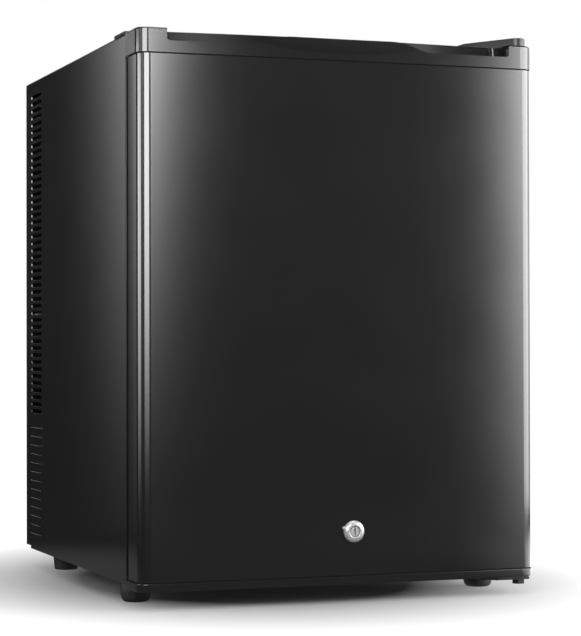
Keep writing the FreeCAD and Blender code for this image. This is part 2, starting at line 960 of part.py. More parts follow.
def door_liner(holes):
    """The moulded inner panel with its raised middle, which enters the cavity."""
    sheet = block(
        case_sheet - panel_half, panel_half - case_sheet, panel_back - liner_wall, panel_back,
        lower_seam, upper_seam)
    low, high = dyke_levels()
    dyke_back = panel_back + dyke_depth
    dyke = block(-dyke_half, dyke_half, panel_back - liner_wall, dyke_back, low, high)
    dyke = soften(dyke, "y", cavity_radius)
    hollow = block(
        liner_wall - dyke_half, dyke_half - liner_wall, panel_back - liner_wall - overrun,
        dyke_back - liner_wall, low + liner_wall, high - liner_wall)
    return sheet.fuse(dyke).cut([soften(hollow, "y", cavity_radius - liner_wall)] + holes).removeSplitter()


def door_foam(holes):
    """The insulation inside the door, with the part that fills the raised middle."""
    low, high = dyke_levels()
    core = panel_block(case_sheet, door_front + case_sheet, panel_back - liner_wall, lower_seam, upper_seam)
    raised = block(
        liner_wall - dyke_half, dyke_half - liner_wall, panel_back - liner_wall,
        panel_back + dyke_depth - liner_wall, low + liner_wall, high - liner_wall)
    raised = soften(raised, "y", cavity_radius - liner_wall)
    return join([core, raised]).cut(holes)


def cap_block(z_low, z_high):
    """The section of the end caps with its rounded corners."""
    raw = block(-cap_half, cap_half, cap_front, cap_back, z_low, z_high)
    middle = (cap_front + cap_back) / 2
    free = soften(raw, "z", cap_free_corner, lambda p: p.y < middle and p.x < 0)
    front = soften(free, "z", cap_hinge_corner, lambda p: p.y < middle and p.x > 0)
    return soften(front, "z", cap_back_corner, lambda p: p.y > middle)


def seam_groove(z_low, z_high):
    """The ring cut round an end cap where it meets the skin, so that the seam is a dark line."""
    core = panel_block(
        case_sheet, door_front + case_sheet, cap_back + overrun, z_low - overrun, z_high + overrun)
    return cap_block(z_low, z_high).cut(core)


def lip_wave():
    """The edges of the cut over the wavy lip, from the left end block to the right one."""
    low = upper_seam + lip_height
    high = low + hump_rise
    over = door_top + overrun
    y = cap_front - overrun
    turn = notch_radius * bend_middle_share
    left = [
        Part.LineSegment(point(-trough_half, y, over), point(-trough_half, y, low + notch_radius)).toShape(),
        Part.Arc(
            point(-trough_half, y, low + notch_radius), point(-trough_half + turn, y, low + turn),
            point(-trough_half + notch_radius, y, low)).toShape(),
        Part.LineSegment(
            point(-trough_half + notch_radius, y, low), point(-hump_half - wave_width, y, low)).toShape(),
    ]
    rise = Part.BezierCurve()
    rise.setPoles([
        point(-hump_half - wave_width, y, low), point(-hump_half - wave_width / 2, y, low),
        point(-hump_half - wave_width / 2, y, high), point(-hump_half, y, high)])
    left.append(rise.toShape())
    crest = Part.LineSegment(point(-hump_half, y, high), point(hump_half, y, high)).toShape()
    right = [edge.mirror(point(0, 0, 0), axes["x"]) for edge in left]
    lid = Part.LineSegment(point(trough_half, y, over), point(-trough_half, y, over)).toShape()
    return left + [crest] + right + [lid]


def trough_pocket():
    """The finger-pull trough behind the lip, with a bowed back wall and rounded ends."""
    low = upper_seam + trough_floor_wall
    front = cap_front + lip_thickness
    ends = front + trough_depth_at_ends
    middle = front + trough_depth_at_middle
    corners = [
        point(-trough_half, ends, low), point(-trough_half, front, low), point(trough_half, front, low),
        point(trough_half, ends, low)]
    edges = [Part.LineSegment(start, end).toShape() for start, end in zip(corners, corners[1:])]
    edges.append(Part.Arc(corners[-1], point(0, middle, low), corners[0]).toShape())
    face = Part.Face(Part.Wire(Part.__sortEdges__(edges)))
    pocket = face.extrude(axes["z"] * (door_top + overrun - low))
    return soften(pocket, "z", trough_end_radius, lambda p: p.y > middle)


def lip_scoop():
    """The shallow hollow in the front of the lip, under the hump."""
    unit = Part.makeSphere(1)
    size = FreeCAD.Matrix()
    size.scale(scoop_half_width, scoop_depth * 2, scoop_height)
    hollow = unit.transformGeometry(size)
    hollow.translate(point(0, cap_front - scoop_depth, upper_seam + lip_height + hump_rise))
    return hollow


def bush_place(side, level, depth):
    """The hole of a hinge bush at one side, running down from its level."""
    radius = pin_radius + bush_wall
    return rod(radius, point(side * hinge_x, hinge_y, level), point(side * hinge_x, hinge_y, level + depth))


def door_top_cap():
    """The moulded top of the door: end blocks, a wavy lip and the trough behind it."""
    cap = soften_rim(cap_block(upper_seam, door_top), door_top, cap_edge_round)
    wave = Part.Face(Part.Wire(Part.__sortEdges__(lip_wave())))
    over_lip = wave.extrude(axes["y"] * (lip_thickness + overrun * 2))
    hollow_front = cap_front + lip_thickness + trough_depth_at_ends + cap_hollow_wall
    hollow = block(
        -trough_half, trough_half, hollow_front, cap_back - cap_hollow_wall,
        upper_seam - overrun, door_top - cap_hollow_wall)
    holes = [bush_place(side, door_top - bush_depth, bush_depth + overrun) for side in (-1, 1)]
    groove = seam_groove(upper_seam, upper_seam + seam_gap)
    cap = cap.cut([trough_pocket(), over_lip, hollow, groove] + holes)
    cap = cap.cut(lip_scoop())
    return cap


def door_bottom_cap():
    """The moulded bottom of the door, with both hinge holes."""
    cap = soften_rim(cap_block(door_bottom, lower_seam), door_bottom, cap_edge_round)
    holes = [bush_place(side, door_bottom - overrun, lower_cap_height + overrun * 2) for side in (-1, 1)]
    return cap.cut([seam_groove(lower_seam - seam_gap, lower_seam)] + holes)


def bush_tube(z_low, z_high):
    """The tube of a hinge bush, not yet bored."""
    return rod(pin_radius + bush_wall, point(hinge_x, hinge_y, z_low), point(hinge_x, hinge_y, z_high))


def pin_bore(z_low, z_high):
    """The bore of a hinge bush, past both its ends."""
    return rod(
        pin_radius + running_clearance, point(hinge_x, hinge_y, z_low - overrun),
        point(hinge_x, hinge_y, z_high + overrun))


def top_hinge_bush():
    """The bush in the right end block of the top cap."""
    low = door_top - bush_depth
    return bush_tube(low, door_top).cut(pin_bore(low, door_top))


def bottom_hinge_bush():
    """The flanged bush in the bottom cap, whose flange rides over the lower bracket."""
    low = door_bottom - bush_flange
    flange = rod(bush_flange_radius, point(hinge_x, hinge_y, low), point(hinge_x, hinge_y, door_bottom))
    return join([bush_tube(door_bottom, lower_seam), flange]).cut(pin_bore(low, lower_seam))


def hinge_hole_plugs():
    """The plugs in the spare hinge holes at the left."""
    radius = pin_radius + bush_wall
    x = -hinge_x
    upper = rod(radius, point(x, hinge_y, door_top - bush_depth), point(x, hinge_y, door_top))
    lower = rod(radius, point(x, hinge_y, door_bottom), point(x, hinge_y, lower_seam))
    return Part.makeCompound([upper, lower])


def door_gasket():
    """The magnetic seal round the inner panel."""
    back = case_front - moving_gap
    outer_half = half_width - gasket_inset
    low = lower_seam + gasket_rebate * 3
    high = upper_seam - gasket_rebate
    ring = block(-outer_half, outer_half, panel_back, back, low, high)
    ring = soften(ring, "y", gasket_width / 2)
    hole = block(
        gasket_width - outer_half, outer_half - gasket_width, panel_back - overrun, back + overrun,
        low + gasket_width, high - gasket_width)
    ring = ring.cut(hole)
    waist = (panel_back + back) / 2
    groove = block(
        gasket_rebate - outer_half, outer_half - gasket_rebate, waist - gasket_rebate / 2,
        waist + gasket_rebate / 2, low + gasket_rebate, high - gasket_rebate)
    around = block(
        -outer_half - overrun, outer_half + overrun, waist - gasket_rebate / 2, waist + gasket_rebate / 2,
        low - overrun, high + overrun)
    return ring.cut(around.cut(soften(groove, "y", gasket_width / 2 - gasket_rebate)))


def door_bin(low, height):
    """An open bin on the door with a rounded retaining wall."""
    front = panel_back + dyke_depth
    back = front + bin_depth
    outer = block(-bin_half, bin_half, front, back, low, low + height)
    middle = (front + back) / 2
    outer = soften(outer, "z", bin_corner, lambda p: p.y > middle)
    inner = block(
        bin_wall - bin_half, bin_half - bin_wall, front + bin_wall, back - bin_wall, low + bin_wall,
        low + height + overrun)
    inner = soften(inner, "z", bin_corner - bin_wall, lambda p: p.y > middle)
    window = block(
        bin_corner - bin_half, bin_half - bin_corner, back - bin_wall - overrun, back + overrun,
        low + height / 2, low + height - bin_rail_radius * 3)
    return outer.cut([inner, window])


def lower_bin_level():
    """Floor level of the lower bin."""
    return dyke_levels()[0] + lower_bin_lift


def upper_bin_level():
    """Floor level of the upper bin."""
    low, high = dyke_levels()
    return low + (high - low) * upper_bin_share


# Lock


def lock_point(depth):
    """A point on the lock's axis, at a depth behind the door's front plane."""
    return point(lock_x, door_front + depth, lock_height)


keeper_back_depth = door_stand_off + frame_depth + keeper_sheet
cam_front_depth = keeper_back_depth + cam_gap
nose_end_depth = cam_front_depth - moving_gap


def barrel_hole():
    """The round hole through the door for the lock's barrel."""
    return rod(barrel_radius, lock_point(-overrun), lock_point(panel_depth + overrun))


def lock_barrel():
    """The chromed barrel: a domed bezel with an ear, a body through the door and a thinner nose."""
    bore = plug_radius + running_clearance
    shoulder = panel_depth + lock_nut_thickness
    dome = [(bezel_radius * across, -lock_proud * high) for across, high in bezel_dome_shares]
    profile = [(bore, plug_set_in - lock_proud)] + dome + [
        (bezel_radius, -bezel_rim), (bezel_radius, 0), (barrel_radius, 0), (barrel_radius, shoulder),
        (barrel_nose_radius, shoulder), (barrel_nose_radius, nose_end_depth), (bore, nose_end_depth),
    ]
    aside = point(bezel_ear_x, 0, bezel_ear_z)
    ear = rod(bezel_ear_radius, lock_point(-bezel_ear_height) + aside, lock_point(0) + aside)
    return turned(profile, "y", lock_point(0)).fuse(ear).removeSplitter()


def lock_nut():
    """The nut that clamps the barrel to the inner panel."""
    nut = prism(
        hexagon(lock_nut_radius, lock_x, lock_height), "y", panel_back, panel_back + lock_nut_thickness)
    return nut.cut(rod(barrel_radius, lock_point(0), lock_point(panel_depth + lock_nut_thickness + overrun)))


def lock_plug():
    """The turning plug with its keyway, up to the cam."""
    plug = rod(plug_radius, lock_point(plug_set_in - lock_proud), lock_point(cam_front_depth))
    front = door_front - lock_proud + plug_set_in
    keyway = block(
        lock_x - keyway_width / 2, lock_x + keyway_width / 2, front - overrun, front + keyway_depth,
        lock_height - keyway_height / 2, lock_height + keyway_height / 2)
    return plug.cut(keyway)


def lock_cam():
    """The flat cam, which hangs down when the lock is open."""
    front = door_front + cam_front_depth
    back = front + cam_thickness
    arm = block(
        lock_x - cam_width / 2, lock_x + cam_width / 2, front, back, lock_height - cam_length, lock_height)
    arm = bevel(arm, "y", cam_width / 4, lambda p: p.z < lock_height - cam_length / 2)
    eye = rod(cam_width / 2, point(lock_x, front, lock_height), point(lock_x, back, lock_height))
    return join([arm, eye])


def cam_screw():
    """The screw head that holds the cam on the plug."""
    start = cam_front_depth + cam_thickness
    return rod(cam_screw_radius, lock_point(start), lock_point(start + cam_screw_head))


# Cooling unit


def finned_plate(side, y_base, y_root, y_tip, count, thickness):
    """A heat sink: a square plate with upright fins."""
    half = side / 2
    plate = block(-half, half, min(y_base, y_root), max(y_base, y_root), module_z - half, module_z + half)
    y_low, y_high = min(y_root, y_tip), max(y_root, y_tip)
    fins = [
        block(x - thickness / 2, x + thickness / 2, y_low, y_high, module_z - half, module_z + half)
        for x in spread(count, thickness / 2 - half, half - thickness / 2)
    ]
    return join([plate] + fins)


def fan_frame(side, y_strut, y_open):
    """A square fan frame: a round duct, a motor plate on struts and the shaft.

    y_strut is the plane of the strut side, y_open the plane of the other side.
    """
    half = side / 2
    toward = 1 if y_open > y_strut else -1
    y_low, y_high = min(y_strut, y_open), max(y_strut, y_open)
    body = soften(block(-half, half, y_low, y_high, module_z - half, module_z + half), "y", fan_corner)
    body = body.cut(
        rod(half - fan_wall, point(0, y_low - overrun, module_z), point(0, y_high + overrun, module_z)))
    strut_inner = y_strut + toward * fan_strut_depth
    strut_low, strut_high = min(y_strut, strut_inner), max(y_strut, strut_inner)
    across = block(
        -half + fan_wall / 2, half - fan_wall / 2, strut_low, strut_high,
        module_z - fan_strut_width / 2, module_z + fan_strut_width / 2)
    upright = block(
        -fan_strut_width / 2, fan_strut_width / 2, strut_low, strut_high,
        module_z - half + fan_wall / 2, module_z + half - fan_wall / 2)
    motor = rod(side * fan_hub_share, point(0, y_strut, module_z), point(0, strut_inner, module_z))
    shaft_end = y_open - toward * fan_end_gap * 3
    shaft = rod(fan_shaft_radius, point(0, strut_inner, module_z), point(0, shaft_end, module_z))
    return join([body, across, upright, motor, shaft])


def fan_rotor(side, y_strut, y_open):
    """The fan's turning hub with its pitched blades."""
    toward = 1 if y_open > y_strut else -1
    hub_radius = side * fan_hub_share
    tip_radius = side / 2 - fan_wall - fan_tip_gap
    start = y_strut + toward * (fan_strut_depth + moving_gap * 2)
    end = y_open - toward * fan_end_gap
    hub = rod(hub_radius, point(0, start, module_z), point(0, end, module_z))
    depth = abs(end - start)
    middle = (start + end) / 2
    chord = (depth - fan_end_gap * 2) / math.cos(math.radians(fan_blade_angle))
    blades = []
    for index in range(fan_blade_count):
        blade = block(
            -fan_blade_thickness / 2, fan_blade_thickness / 2, middle - chord / 2 + fan_blade_thickness / 2,
            middle + chord / 2 - fan_blade_thickness / 2, module_z + hub_radius * blade_root_share,
            module_z + tip_radius)
        blade.rotate(point(0, middle, module_z), axes["z"], fan_blade_angle)
        blade.rotate(point(0, middle, module_z), axes["y"], 360 / fan_blade_count * index)
        blades.append(blade)
    limit = rod(tip_radius, point(0, min(start, end), module_z), point(0, max(start, end), module_z))
    wheel = join([hub] + blades).common(limit)
    bore = rod(
        fan_shaft_radius + running_clearance, point(0, min(start, end) - overrun, module_z),
        point(0, max(start, end) + overrun, module_z))
    return wheel.cut(bore)


cold_plate_front = cavity_back - cold_plate_thickness
cold_fin_tip = cold_plate_front - cold_fin_depth
duct_front = cavity_back - duct_depth
cold_fan_front = duct_front + moulding_wall
cold_fan_back = cold_fan_front + cold_fan_depth
peltier_front = bulkhead_back - module_thickness
hot_plate_back = bulkhead_back + hot_plate_thickness
hot_fin_tip = hot_plate_back + hot_fin_depth
hot_fan_back = hot_fin_tip + hot_fan_depth


def cold_duct_cover():
    """The moulded cover over the cold plate, with a grille in front and an outlet at top and bottom."""
    outer = block(
        -duct_half_width, duct_half_width, duct_front, cavity_back,
        module_z - duct_half_height, module_z + duct_half_height)
    outer = soften(outer, "z", housing_corner, lambda p: p.y < duct_front + duct_depth / 2)
    inner = block(
        moulding_wall - duct_half_width, duct_half_width - moulding_wall, duct_front + moulding_wall,
        cavity_back + overrun, module_z - duct_half_height + moulding_wall,
        module_z + duct_half_height - moulding_wall)
    radius = cold_fan_side / 2 - fan_wall - duct_slot_height / 2
    rows = int(radius // duct_slot_pitch)
    cuts = [inner]
    for index in range(-rows, rows + 1):
        level = index * duct_slot_pitch
        half = math.sqrt(radius * radius - level * level)
        cuts.append(block(
            -half, half, duct_front - overrun, duct_front + moulding_wall + overrun,
            module_z + level - duct_slot_height / 2, module_z + level + duct_slot_height / 2))
    outlet_half = duct_half_width - duct_outlet_height
    for side in (-1, 1):
        edge = module_z + side * duct_half_height
        cuts.append(block(
            -outlet_half, outlet_half, cold_fan_back, cavity_back - duct_outlet_height / 2,
            edge - moulding_wall - overrun, edge + moulding_wall + overrun))
    return outer.cut(cuts)


def cooling_block():
    """The aluminium block that carries the cold through the back wall."""
    half = module_side / 2
    return block(-half, half, cavity_back, peltier_front, module_z - half, module_z + half)


def peltier_module():
    """The thermoelectric module between the block and the hot plate."""
    half = module_side / 2
    return block(-half, half, peltier_front, bulkhead_back, module_z - half, module_z + half)


def drip_channel():
    """The gutter under the cold plate."""
    half = duct_half_width
    front = cavity_back - channel_depth
    outer = block(-half, half, front, cavity_back, channel_bottom, channel_top)
    outer = bevel(
        outer, "x", channel_height / 3,
        lambda p: p.y < front + channel_wall and p.z < channel_bottom + channel_wall)
    inner = block(
        channel_wall - half, half - channel_wall, front + channel_wall + channel_height / 4,
        cavity_back - channel_wall, channel_bottom + channel_wall, channel_top + overrun)
    outlet = rod(
        drain_radius, point(0, cavity_back - channel_depth / 2, drain_z),
        point(0, cavity_back + overrun, drain_z))
    return outer.cut([inner, outlet])


def drain_tube():
    """The tube from the gutter through the back wall and down to the evaporation tray."""
    start = point(0, cavity_back - channel_wall, drain_z)
    elbow_y = bulkhead_back + drain_set_back
    foot = tray_height + base_top - tray_wall - drain_air_gap
    bend_start = point(0, elbow_y - drain_bend, drain_z)
    bend_end = point(0, elbow_y, drain_z - drain_bend)
    turn = drain_bend * bend_middle_share
    path = Part.Wire([
        Part.LineSegment(start, bend_start).toShape(),
        Part.Arc(bend_start, point(0, elbow_y - turn, drain_z - turn), bend_end).toShape(),
        Part.LineSegment(bend_end, point(0, elbow_y, foot)).toShape(),
    ])
    tubes = []
    for radius in (drain_radius, drain_radius - drain_wall):
        ring = Part.Wire(Part.makeCircle(radius, start, axes["y"]))
        tubes.append(path.makePipeShell([ring], True, False))
    return tubes[0].cut(tubes[1])


def evaporation_tray():
    """The open tray on the base pan that dries the drain's water."""
    front = bulkhead_back + tray_margin
    back = fold_front - tray_margin
    outer = block(-tray_half_width, tray_half_width, front, back, base_top, base_top + tray_height)
    inner = block(
        tray_wall - tray_half_width, tray_half_width - tray_wall, front + tray_wall, back - tray_wall,
        base_top + tray_wall, base_top + tray_height + overrun)
    return soften(outer, "z", tray_wall * 2).cut(soften(inner, "z", tray_wall))


# Electrical pieces


def power_supply():
    """The steel box of the power supply, standing on the base pan."""
    front = bulkhead_back + supply_gap
    right = supply_left + supply_width
    box = block(supply_left, right, front, front + supply_depth, base_top, base_top + supply_height)
    box = soften(box, "z", supply_corner)
    vents = [
        block(
            x, x + supply_gap, front + supply_depth / 4, front + supply_depth * 3 / 4,
            base_top + supply_height - supply_gap, base_top + supply_height + overrun)
        for x in spread(supply_vent_count, supply_left + supply_vent_margin, right - supply_vent_margin)
    ]
    return box.cut(vents)


def control_board():
    """The fan and module controller: a board on posts with its larger parts."""
    face = bulkhead_back + board_stand_off
    right = board_left + board_width
    top = board_bottom + board_height
    board = block(board_left, right, face, face + board_thickness, board_bottom, top)
    posts = [
        rod(board_post_radius, point(x, bulkhead_back, z), point(x, face + overrun / 2, z))
        for x in (board_left + board_post_margin, right - board_post_margin)
        for z in (board_bottom + board_post_margin, top - board_post_margin)
    ]
    front = face + board_thickness - overrun / 2
    middle = top - board_height / 2
    tall = [
        rod(capacitor_radius, point(x, front, middle), point(x, front + capacitor_height, middle))
        for x in (board_left + board_width / 4, board_left + board_width / 2)
    ]
    relay = block(
        right - relay_margin - relay_side, right - relay_margin, front, front + relay_side,
        middle, middle + relay_side)
    return join([board, relay] + posts + tall)


def mains_inlet():
    """The three-pin appliance inlet in the rear cover."""
    half_w, half_h = inlet_width / 2, inlet_body_height / 2
    front = case_back - inlet_depth
    body = block(
        inlet_x - half_w, inlet_x + half_w, front, case_back, inlet_height - half_h, inlet_height + half_h)
    flange = block(
        inlet_x - half_w - inlet_flange_side, inlet_x + half_w + inlet_flange_side,
        case_back - cover_wall - inlet_flange, case_back - cover_wall, inlet_height - half_h - inlet_flange,
        inlet_height + half_h + inlet_flange)
    recess = block(
        inlet_x - half_w + inlet_recess_wall, inlet_x + half_w - inlet_recess_wall,
        case_back - inlet_recess_depth, case_back + overrun, inlet_height - half_h + inlet_recess_wall,
        inlet_height + half_h - inlet_recess_wall)
    shell = join([body, flange]).cut(recess)
    root = case_back - inlet_recess_depth
    pins = [
        block(
            inlet_x + offset - inlet_pin_width / 2, inlet_x + offset + inlet_pin_width / 2, root - overrun,
            root + inlet_pin_length, inlet_height - inlet_pin_drop - inlet_pin_height / 2,
            inlet_height - inlet_pin_drop + inlet_pin_height / 2)
        for offset in (-inlet_pin_spacing, 0, inlet_pin_spacing)
    ]
    return join([shell] + pins)


housing_back = cavity_back
housing_front = housing_back - housing_depth
housing_bottom = cavity_top - housing_height
knob_z = cavity_top - housing_height / 2


def control_housing():
    """The housing of the lamp and the thermostat, under the cavity's ceiling."""
    outer = block(-housing_half, housing_half, housing_front, housing_back, housing_bottom, cavity_top)
    outer = soften(outer, "z", housing_corner, lambda p: p.y < housing_front + housing_depth / 2)
    inner = block(
        moulding_wall - housing_half, housing_half - moulding_wall, housing_front + moulding_wall,
        housing_back - moulding_wall, housing_bottom + moulding_wall, cavity_top + overrun)
    lens_front = housing_front + lens_set_back
    lamp = block(
        lens_left, lens_left + lens_width, lens_front, lens_front + lens_depth,
        housing_bottom - overrun, housing_bottom + moulding_wall + overrun)
    shaft = rod(
        knob_shaft_radius + running_clearance, point(knob_x, housing_front - overrun, knob_z),
        point(knob_x, housing_front + moulding_wall + overrun, knob_z))
    return outer.cut([inner, lamp, shaft])


def lamp_lens():
    """The clear lens in the housing's floor."""
    lens_front = housing_front + lens_set_back
    lens = block(
        lens_left, lens_left + lens_width, lens_front, lens_front + lens_depth,
        housing_bottom - lens_drop, housing_bottom + moulding_wall)
    return bevel(lens, "x", lens_drop / 2, lambda p: p.z < housing_bottom)


def lamp_board():
    """The lamp's strip of light sources, standing on the lens."""
    y = housing_front + lens_set_back + lens_depth / 2
    low = housing_bottom + moulding_wall
    return block(
        lens_left + lens_drop, lens_left + lens_width - lens_drop, y - lens_depth / 4, y + lens_depth / 4,
        low, low + lamp_board_thickness)


def thermostat_knob():
    """The thermostat's knob with its grip bar and shaft."""
    back = housing_front - moving_gap
    front = back - knob_depth
    face = knob_grip_depth - knob_depth
    disc = turned(
        [(0, 0), (knob_radius, 0), (knob_radius * knob_face_share, face), (0, face)],
        "y", point(knob_x, back, knob_z))
    grip_half = knob_radius * knob_grip_share
    grip = block(
        knob_x - knob_grip_width / 2, knob_x + knob_grip_width / 2, front, back - knob_grip_depth / 2,
        knob_z - grip_half, knob_z + grip_half)
    grip = bevel(grip, "z", knob_grip_width / 4, lambda p: p.y < front + knob_grip_depth / 2)
    shaft = rod(
        knob_shaft_radius, point(knob_x, back, knob_z), point(knob_x, back + knob_shaft_length, knob_z))
    return join([disc, grip, shaft])


def reed_switch():
    """The lamp's reed switch behind the front frame."""
    return block(
        reed_x - reed_length / 2, reed_x + reed_length / 2, frame_back, frame_back + reed_side,
        reed_height - reed_side / 2, reed_height + reed_side / 2)


def switch_magnet():
    """The magnet behind the door's inner panel that works the reed switch."""
    back = panel_back - liner_wall
    return block(
        reed_x - reed_side, reed_x + reed_side, back - reed_side, back,
        reed_height - reed_side / 2, reed_height + reed_side / 2)


# Wire shelves


def shelf_ring(level):
    """The bent rail round a shelf."""
    half = cavity_half - shelf_side_gap - rail_diameter / 2
    front = shelf_front + rail_diameter / 2
    back = shelf_back - rail_diameter / 2
    z = level + rail_diameter / 2
    radius = rail_diameter / 2
    corner = shelf_corner
    bend = corner * bend_middle_share
    edges = []
    corners = [(half, front, -1, 1), (half, back, -1, -1), (-half, back, 1, -1), (-half, front, 1, 1)]
    starts = []
    for x, y, dx, dy in corners:
        along_y = point(x, y + dy * corner, z)
        along_x = point(x + dx * corner, y, z)
        middle = point(x + dx * bend, y + dy * bend, z)
        starts.append((along_x, along_y))
        edges.append(Part.Arc(along_x, middle, along_y).toShape())
    edges.append(Part.LineSegment(starts[0][1], starts[1][1]).toShape())
    edges.append(Part.LineSegment(starts[1][0], starts[2][0]).toShape())
    edges.append(Part.LineSegment(starts[2][1], starts[3][1]).toShape())
    edges.append(Part.LineSegment(starts[3][0], starts[0][0]).toShape())
    path = Part.Wire(Part.__sortEdges__(edges))
    first = path.OrderedEdges[0]
    origin = first.valueAt(first.FirstParameter)
    direction = first.tangentAt(first.FirstParameter)
    ring = Part.Wire(Part.makeCircle(radius, origin, direction))
    return path.makePipeShell([ring], True, False)


def wire_shelf(level):
    """A shelf of welded wires on its rail."""
    z = level + rail_diameter + wire_diameter / 2 - weld_sink
    half = cavity_half - shelf_side_gap - shelf_corner - wire_margin
    front = shelf_front + rail_diameter / 4
    back = shelf_back - rail_diameter / 4
    wires = [
        rod(wire_diameter / 2, point(x, front, z), point(x, back, z)) for x in spread(wire_count, -half, half)
    ]
    return shelf_ring(level).multiFuse(wires)


# Assembly


def make_parts():
    """Every piece of the fridge by its name."""
    top = top_screws()
    lower = lower_screws()
    back = rear_cover_screws()
    lock_way = [barrel_hole()]
    left_foot, right_foot = foot_places()
    return {
        "outer_wrapper": outer_wrapper(top + back),
        "base_pan": base_pan(lower),
        "front_frame": front_frame(),
        "inner_liner": inner_liner(),
        "cabinet_foam": cabinet_foam(top + lower),
        "bulkhead": bulkhead(),
        "rear_cover": rear_cover(),
        "rear_cover_screws": Part.makeCompound(back),
        "top_hinge_bracket": top_hinge_bracket(top),
        "top_hinge_pin": top_hinge_pin(),
        "hinge_screws": Part.makeCompound(top + lower),
        "hinge_cover": hinge_cover(),
        "blank_hinge_cover": blank_hinge_cover(),
        "bottom_hinge_bracket": bottom_hinge_bracket(lower),
        "bottom_hinge_pin": bottom_hinge_pin(),
        "foot_sockets": foot_sockets(),
        "front_foot_left": front_foot(*left_foot),
        "front_foot_right": front_foot(*right_foot),
        "rear_feet": rear_feet(),
        "lock_keeper": lock_keeper(),
        "reed_switch": reed_switch(),
        "upper_shelf": wire_shelf(shelf_levels[1]),
        "lower_shelf": wire_shelf(shelf_levels[0]),
        "cold_heatsink": finned_plate(
            cold_plate_side, cavity_back, cold_plate_front, cold_fin_tip, cold_fin_count, cold_fin_thickness),
        "cold_duct_cover": cold_duct_cover(),
        "cold_fan_frame": fan_frame(cold_fan_side, cold_fan_front, cold_fan_back),
        "cold_fan_rotor": fan_rotor(cold_fan_side, cold_fan_front, cold_fan_back),
        "cooling_block": cooling_block(),
        "peltier_module": peltier_module(),
        "hot_heatsink": finned_plate(
            hot_plate_side, bulkhead_back, hot_plate_back, hot_fin_tip, hot_fin_count, hot_fin_thickness),
        "hot_fan_frame": fan_frame(hot_fan_side, hot_fan_back, hot_fin_tip),
        "hot_fan_rotor": fan_rotor(hot_fan_side, hot_fan_back, hot_fin_tip),
        "drip_channel": drip_channel(),
        "drain_tube": drain_tube(),
        "evaporation_tray": evaporation_tray(),
        "power_supply": power_supply(),
        "control_board": control_board(),
        "mains_inlet": mains_inlet(),
        "control_housing": control_housing(),
        "lamp_lens": lamp_lens(),
        "lamp_board": lamp_board(),
        "thermostat_knob": thermostat_knob(),
        "door_panel": door_panel(lock_way),
        "door_foam": door_foam(lock_way + [switch_magnet()]),
        "door_liner": door_liner(lock_way),
        "door_gasket": door_gasket(),
        "door_top_cap": door_top_cap(),
        "door_bottom_cap": door_bottom_cap(),
        "top_hinge_bush": top_hinge_bush(),
        "bottom_hinge_bush": bottom_hinge_bush(),
        "hinge_hole_plugs": hinge_hole_plugs(),
        "lower_door_bin": door_bin(lower_bin_level(), lower_bin_height),
        "upper_door_bin": door_bin(upper_bin_level(), upper_bin_height),
        "switch_magnet": switch_magnet(),
        "lock_barrel": lock_barrel(),
        "lock_nut": lock_nut(),
        "lock_plug": lock_plug(),
        "lock_cam": lock_cam(),
        "cam_screw": cam_screw(),
    }


os.makedirs("parts", exist_ok=True)
for name, shape in make_parts().items():
    shape.exportStep(os.path.join("parts", name + ".step"))
    print(name, len(shape.Solids), shape.isValid())
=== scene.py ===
"""The looks of a hotel bar fridge: finer pieces, finishes, floor, light and camera."""

import json
import logging
import math
from dataclasses import dataclass
from enum import Enum
from typing import Iterable, Optional, Sequence

import bmesh
import bpy
from mathutils import Matrix, Vector


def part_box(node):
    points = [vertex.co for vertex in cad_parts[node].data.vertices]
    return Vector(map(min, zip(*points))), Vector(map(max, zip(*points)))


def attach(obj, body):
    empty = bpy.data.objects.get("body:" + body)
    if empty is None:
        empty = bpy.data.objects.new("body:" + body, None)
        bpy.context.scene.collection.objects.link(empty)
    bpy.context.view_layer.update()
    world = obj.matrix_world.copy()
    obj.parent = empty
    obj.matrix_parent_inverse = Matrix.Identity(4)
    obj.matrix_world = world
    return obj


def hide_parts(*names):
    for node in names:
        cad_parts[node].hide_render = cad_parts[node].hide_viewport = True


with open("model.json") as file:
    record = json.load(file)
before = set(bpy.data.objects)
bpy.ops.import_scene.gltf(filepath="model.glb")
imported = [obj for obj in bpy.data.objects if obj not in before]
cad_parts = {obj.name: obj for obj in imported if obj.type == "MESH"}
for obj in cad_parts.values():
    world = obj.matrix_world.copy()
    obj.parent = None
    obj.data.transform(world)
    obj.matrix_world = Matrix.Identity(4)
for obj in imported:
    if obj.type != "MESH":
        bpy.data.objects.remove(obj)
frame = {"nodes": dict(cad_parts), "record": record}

log = logging.getLogger("bar_fridge")
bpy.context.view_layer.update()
MM = 0.001

Mesh = bmesh.types.BMesh
Piece = bpy.types.Object
Tree = bpy.types.NodeTree
Socket = bpy.types.NodeSocket


class Axis(Enum):
    """The directions that a piece or its grain runs in."""

    X = Vector((1.0, 0.0, 0.0))
    Y = Vector((0.0, 1.0, 0.0))
    Z = Vector((0.0, 0.0, 1.0))


# Materials

WHITE = (1.0, 1.0, 1.0, 1.0)
# The curve of sRGB: a straight toe, then a power.
SRGB_TOE_END, SRGB_TOE_SLOPE, SRGB_OFFSET, SRGB_POWER = 0.04045, 12.92, 0.055, 2.4
# The noise that colour and roughness drift with, and the part of it that they follow.
DRIFT_DETAIL, DRIFT_ROUGHNESS, DRIFT_START, DRIFT_END = 3.0, 0.55, 0.3, 0.7
GRAIN_DETAIL, LINE_DETAIL = 2.0, 3.0
LEAST_ROUGHNESS = 0.02


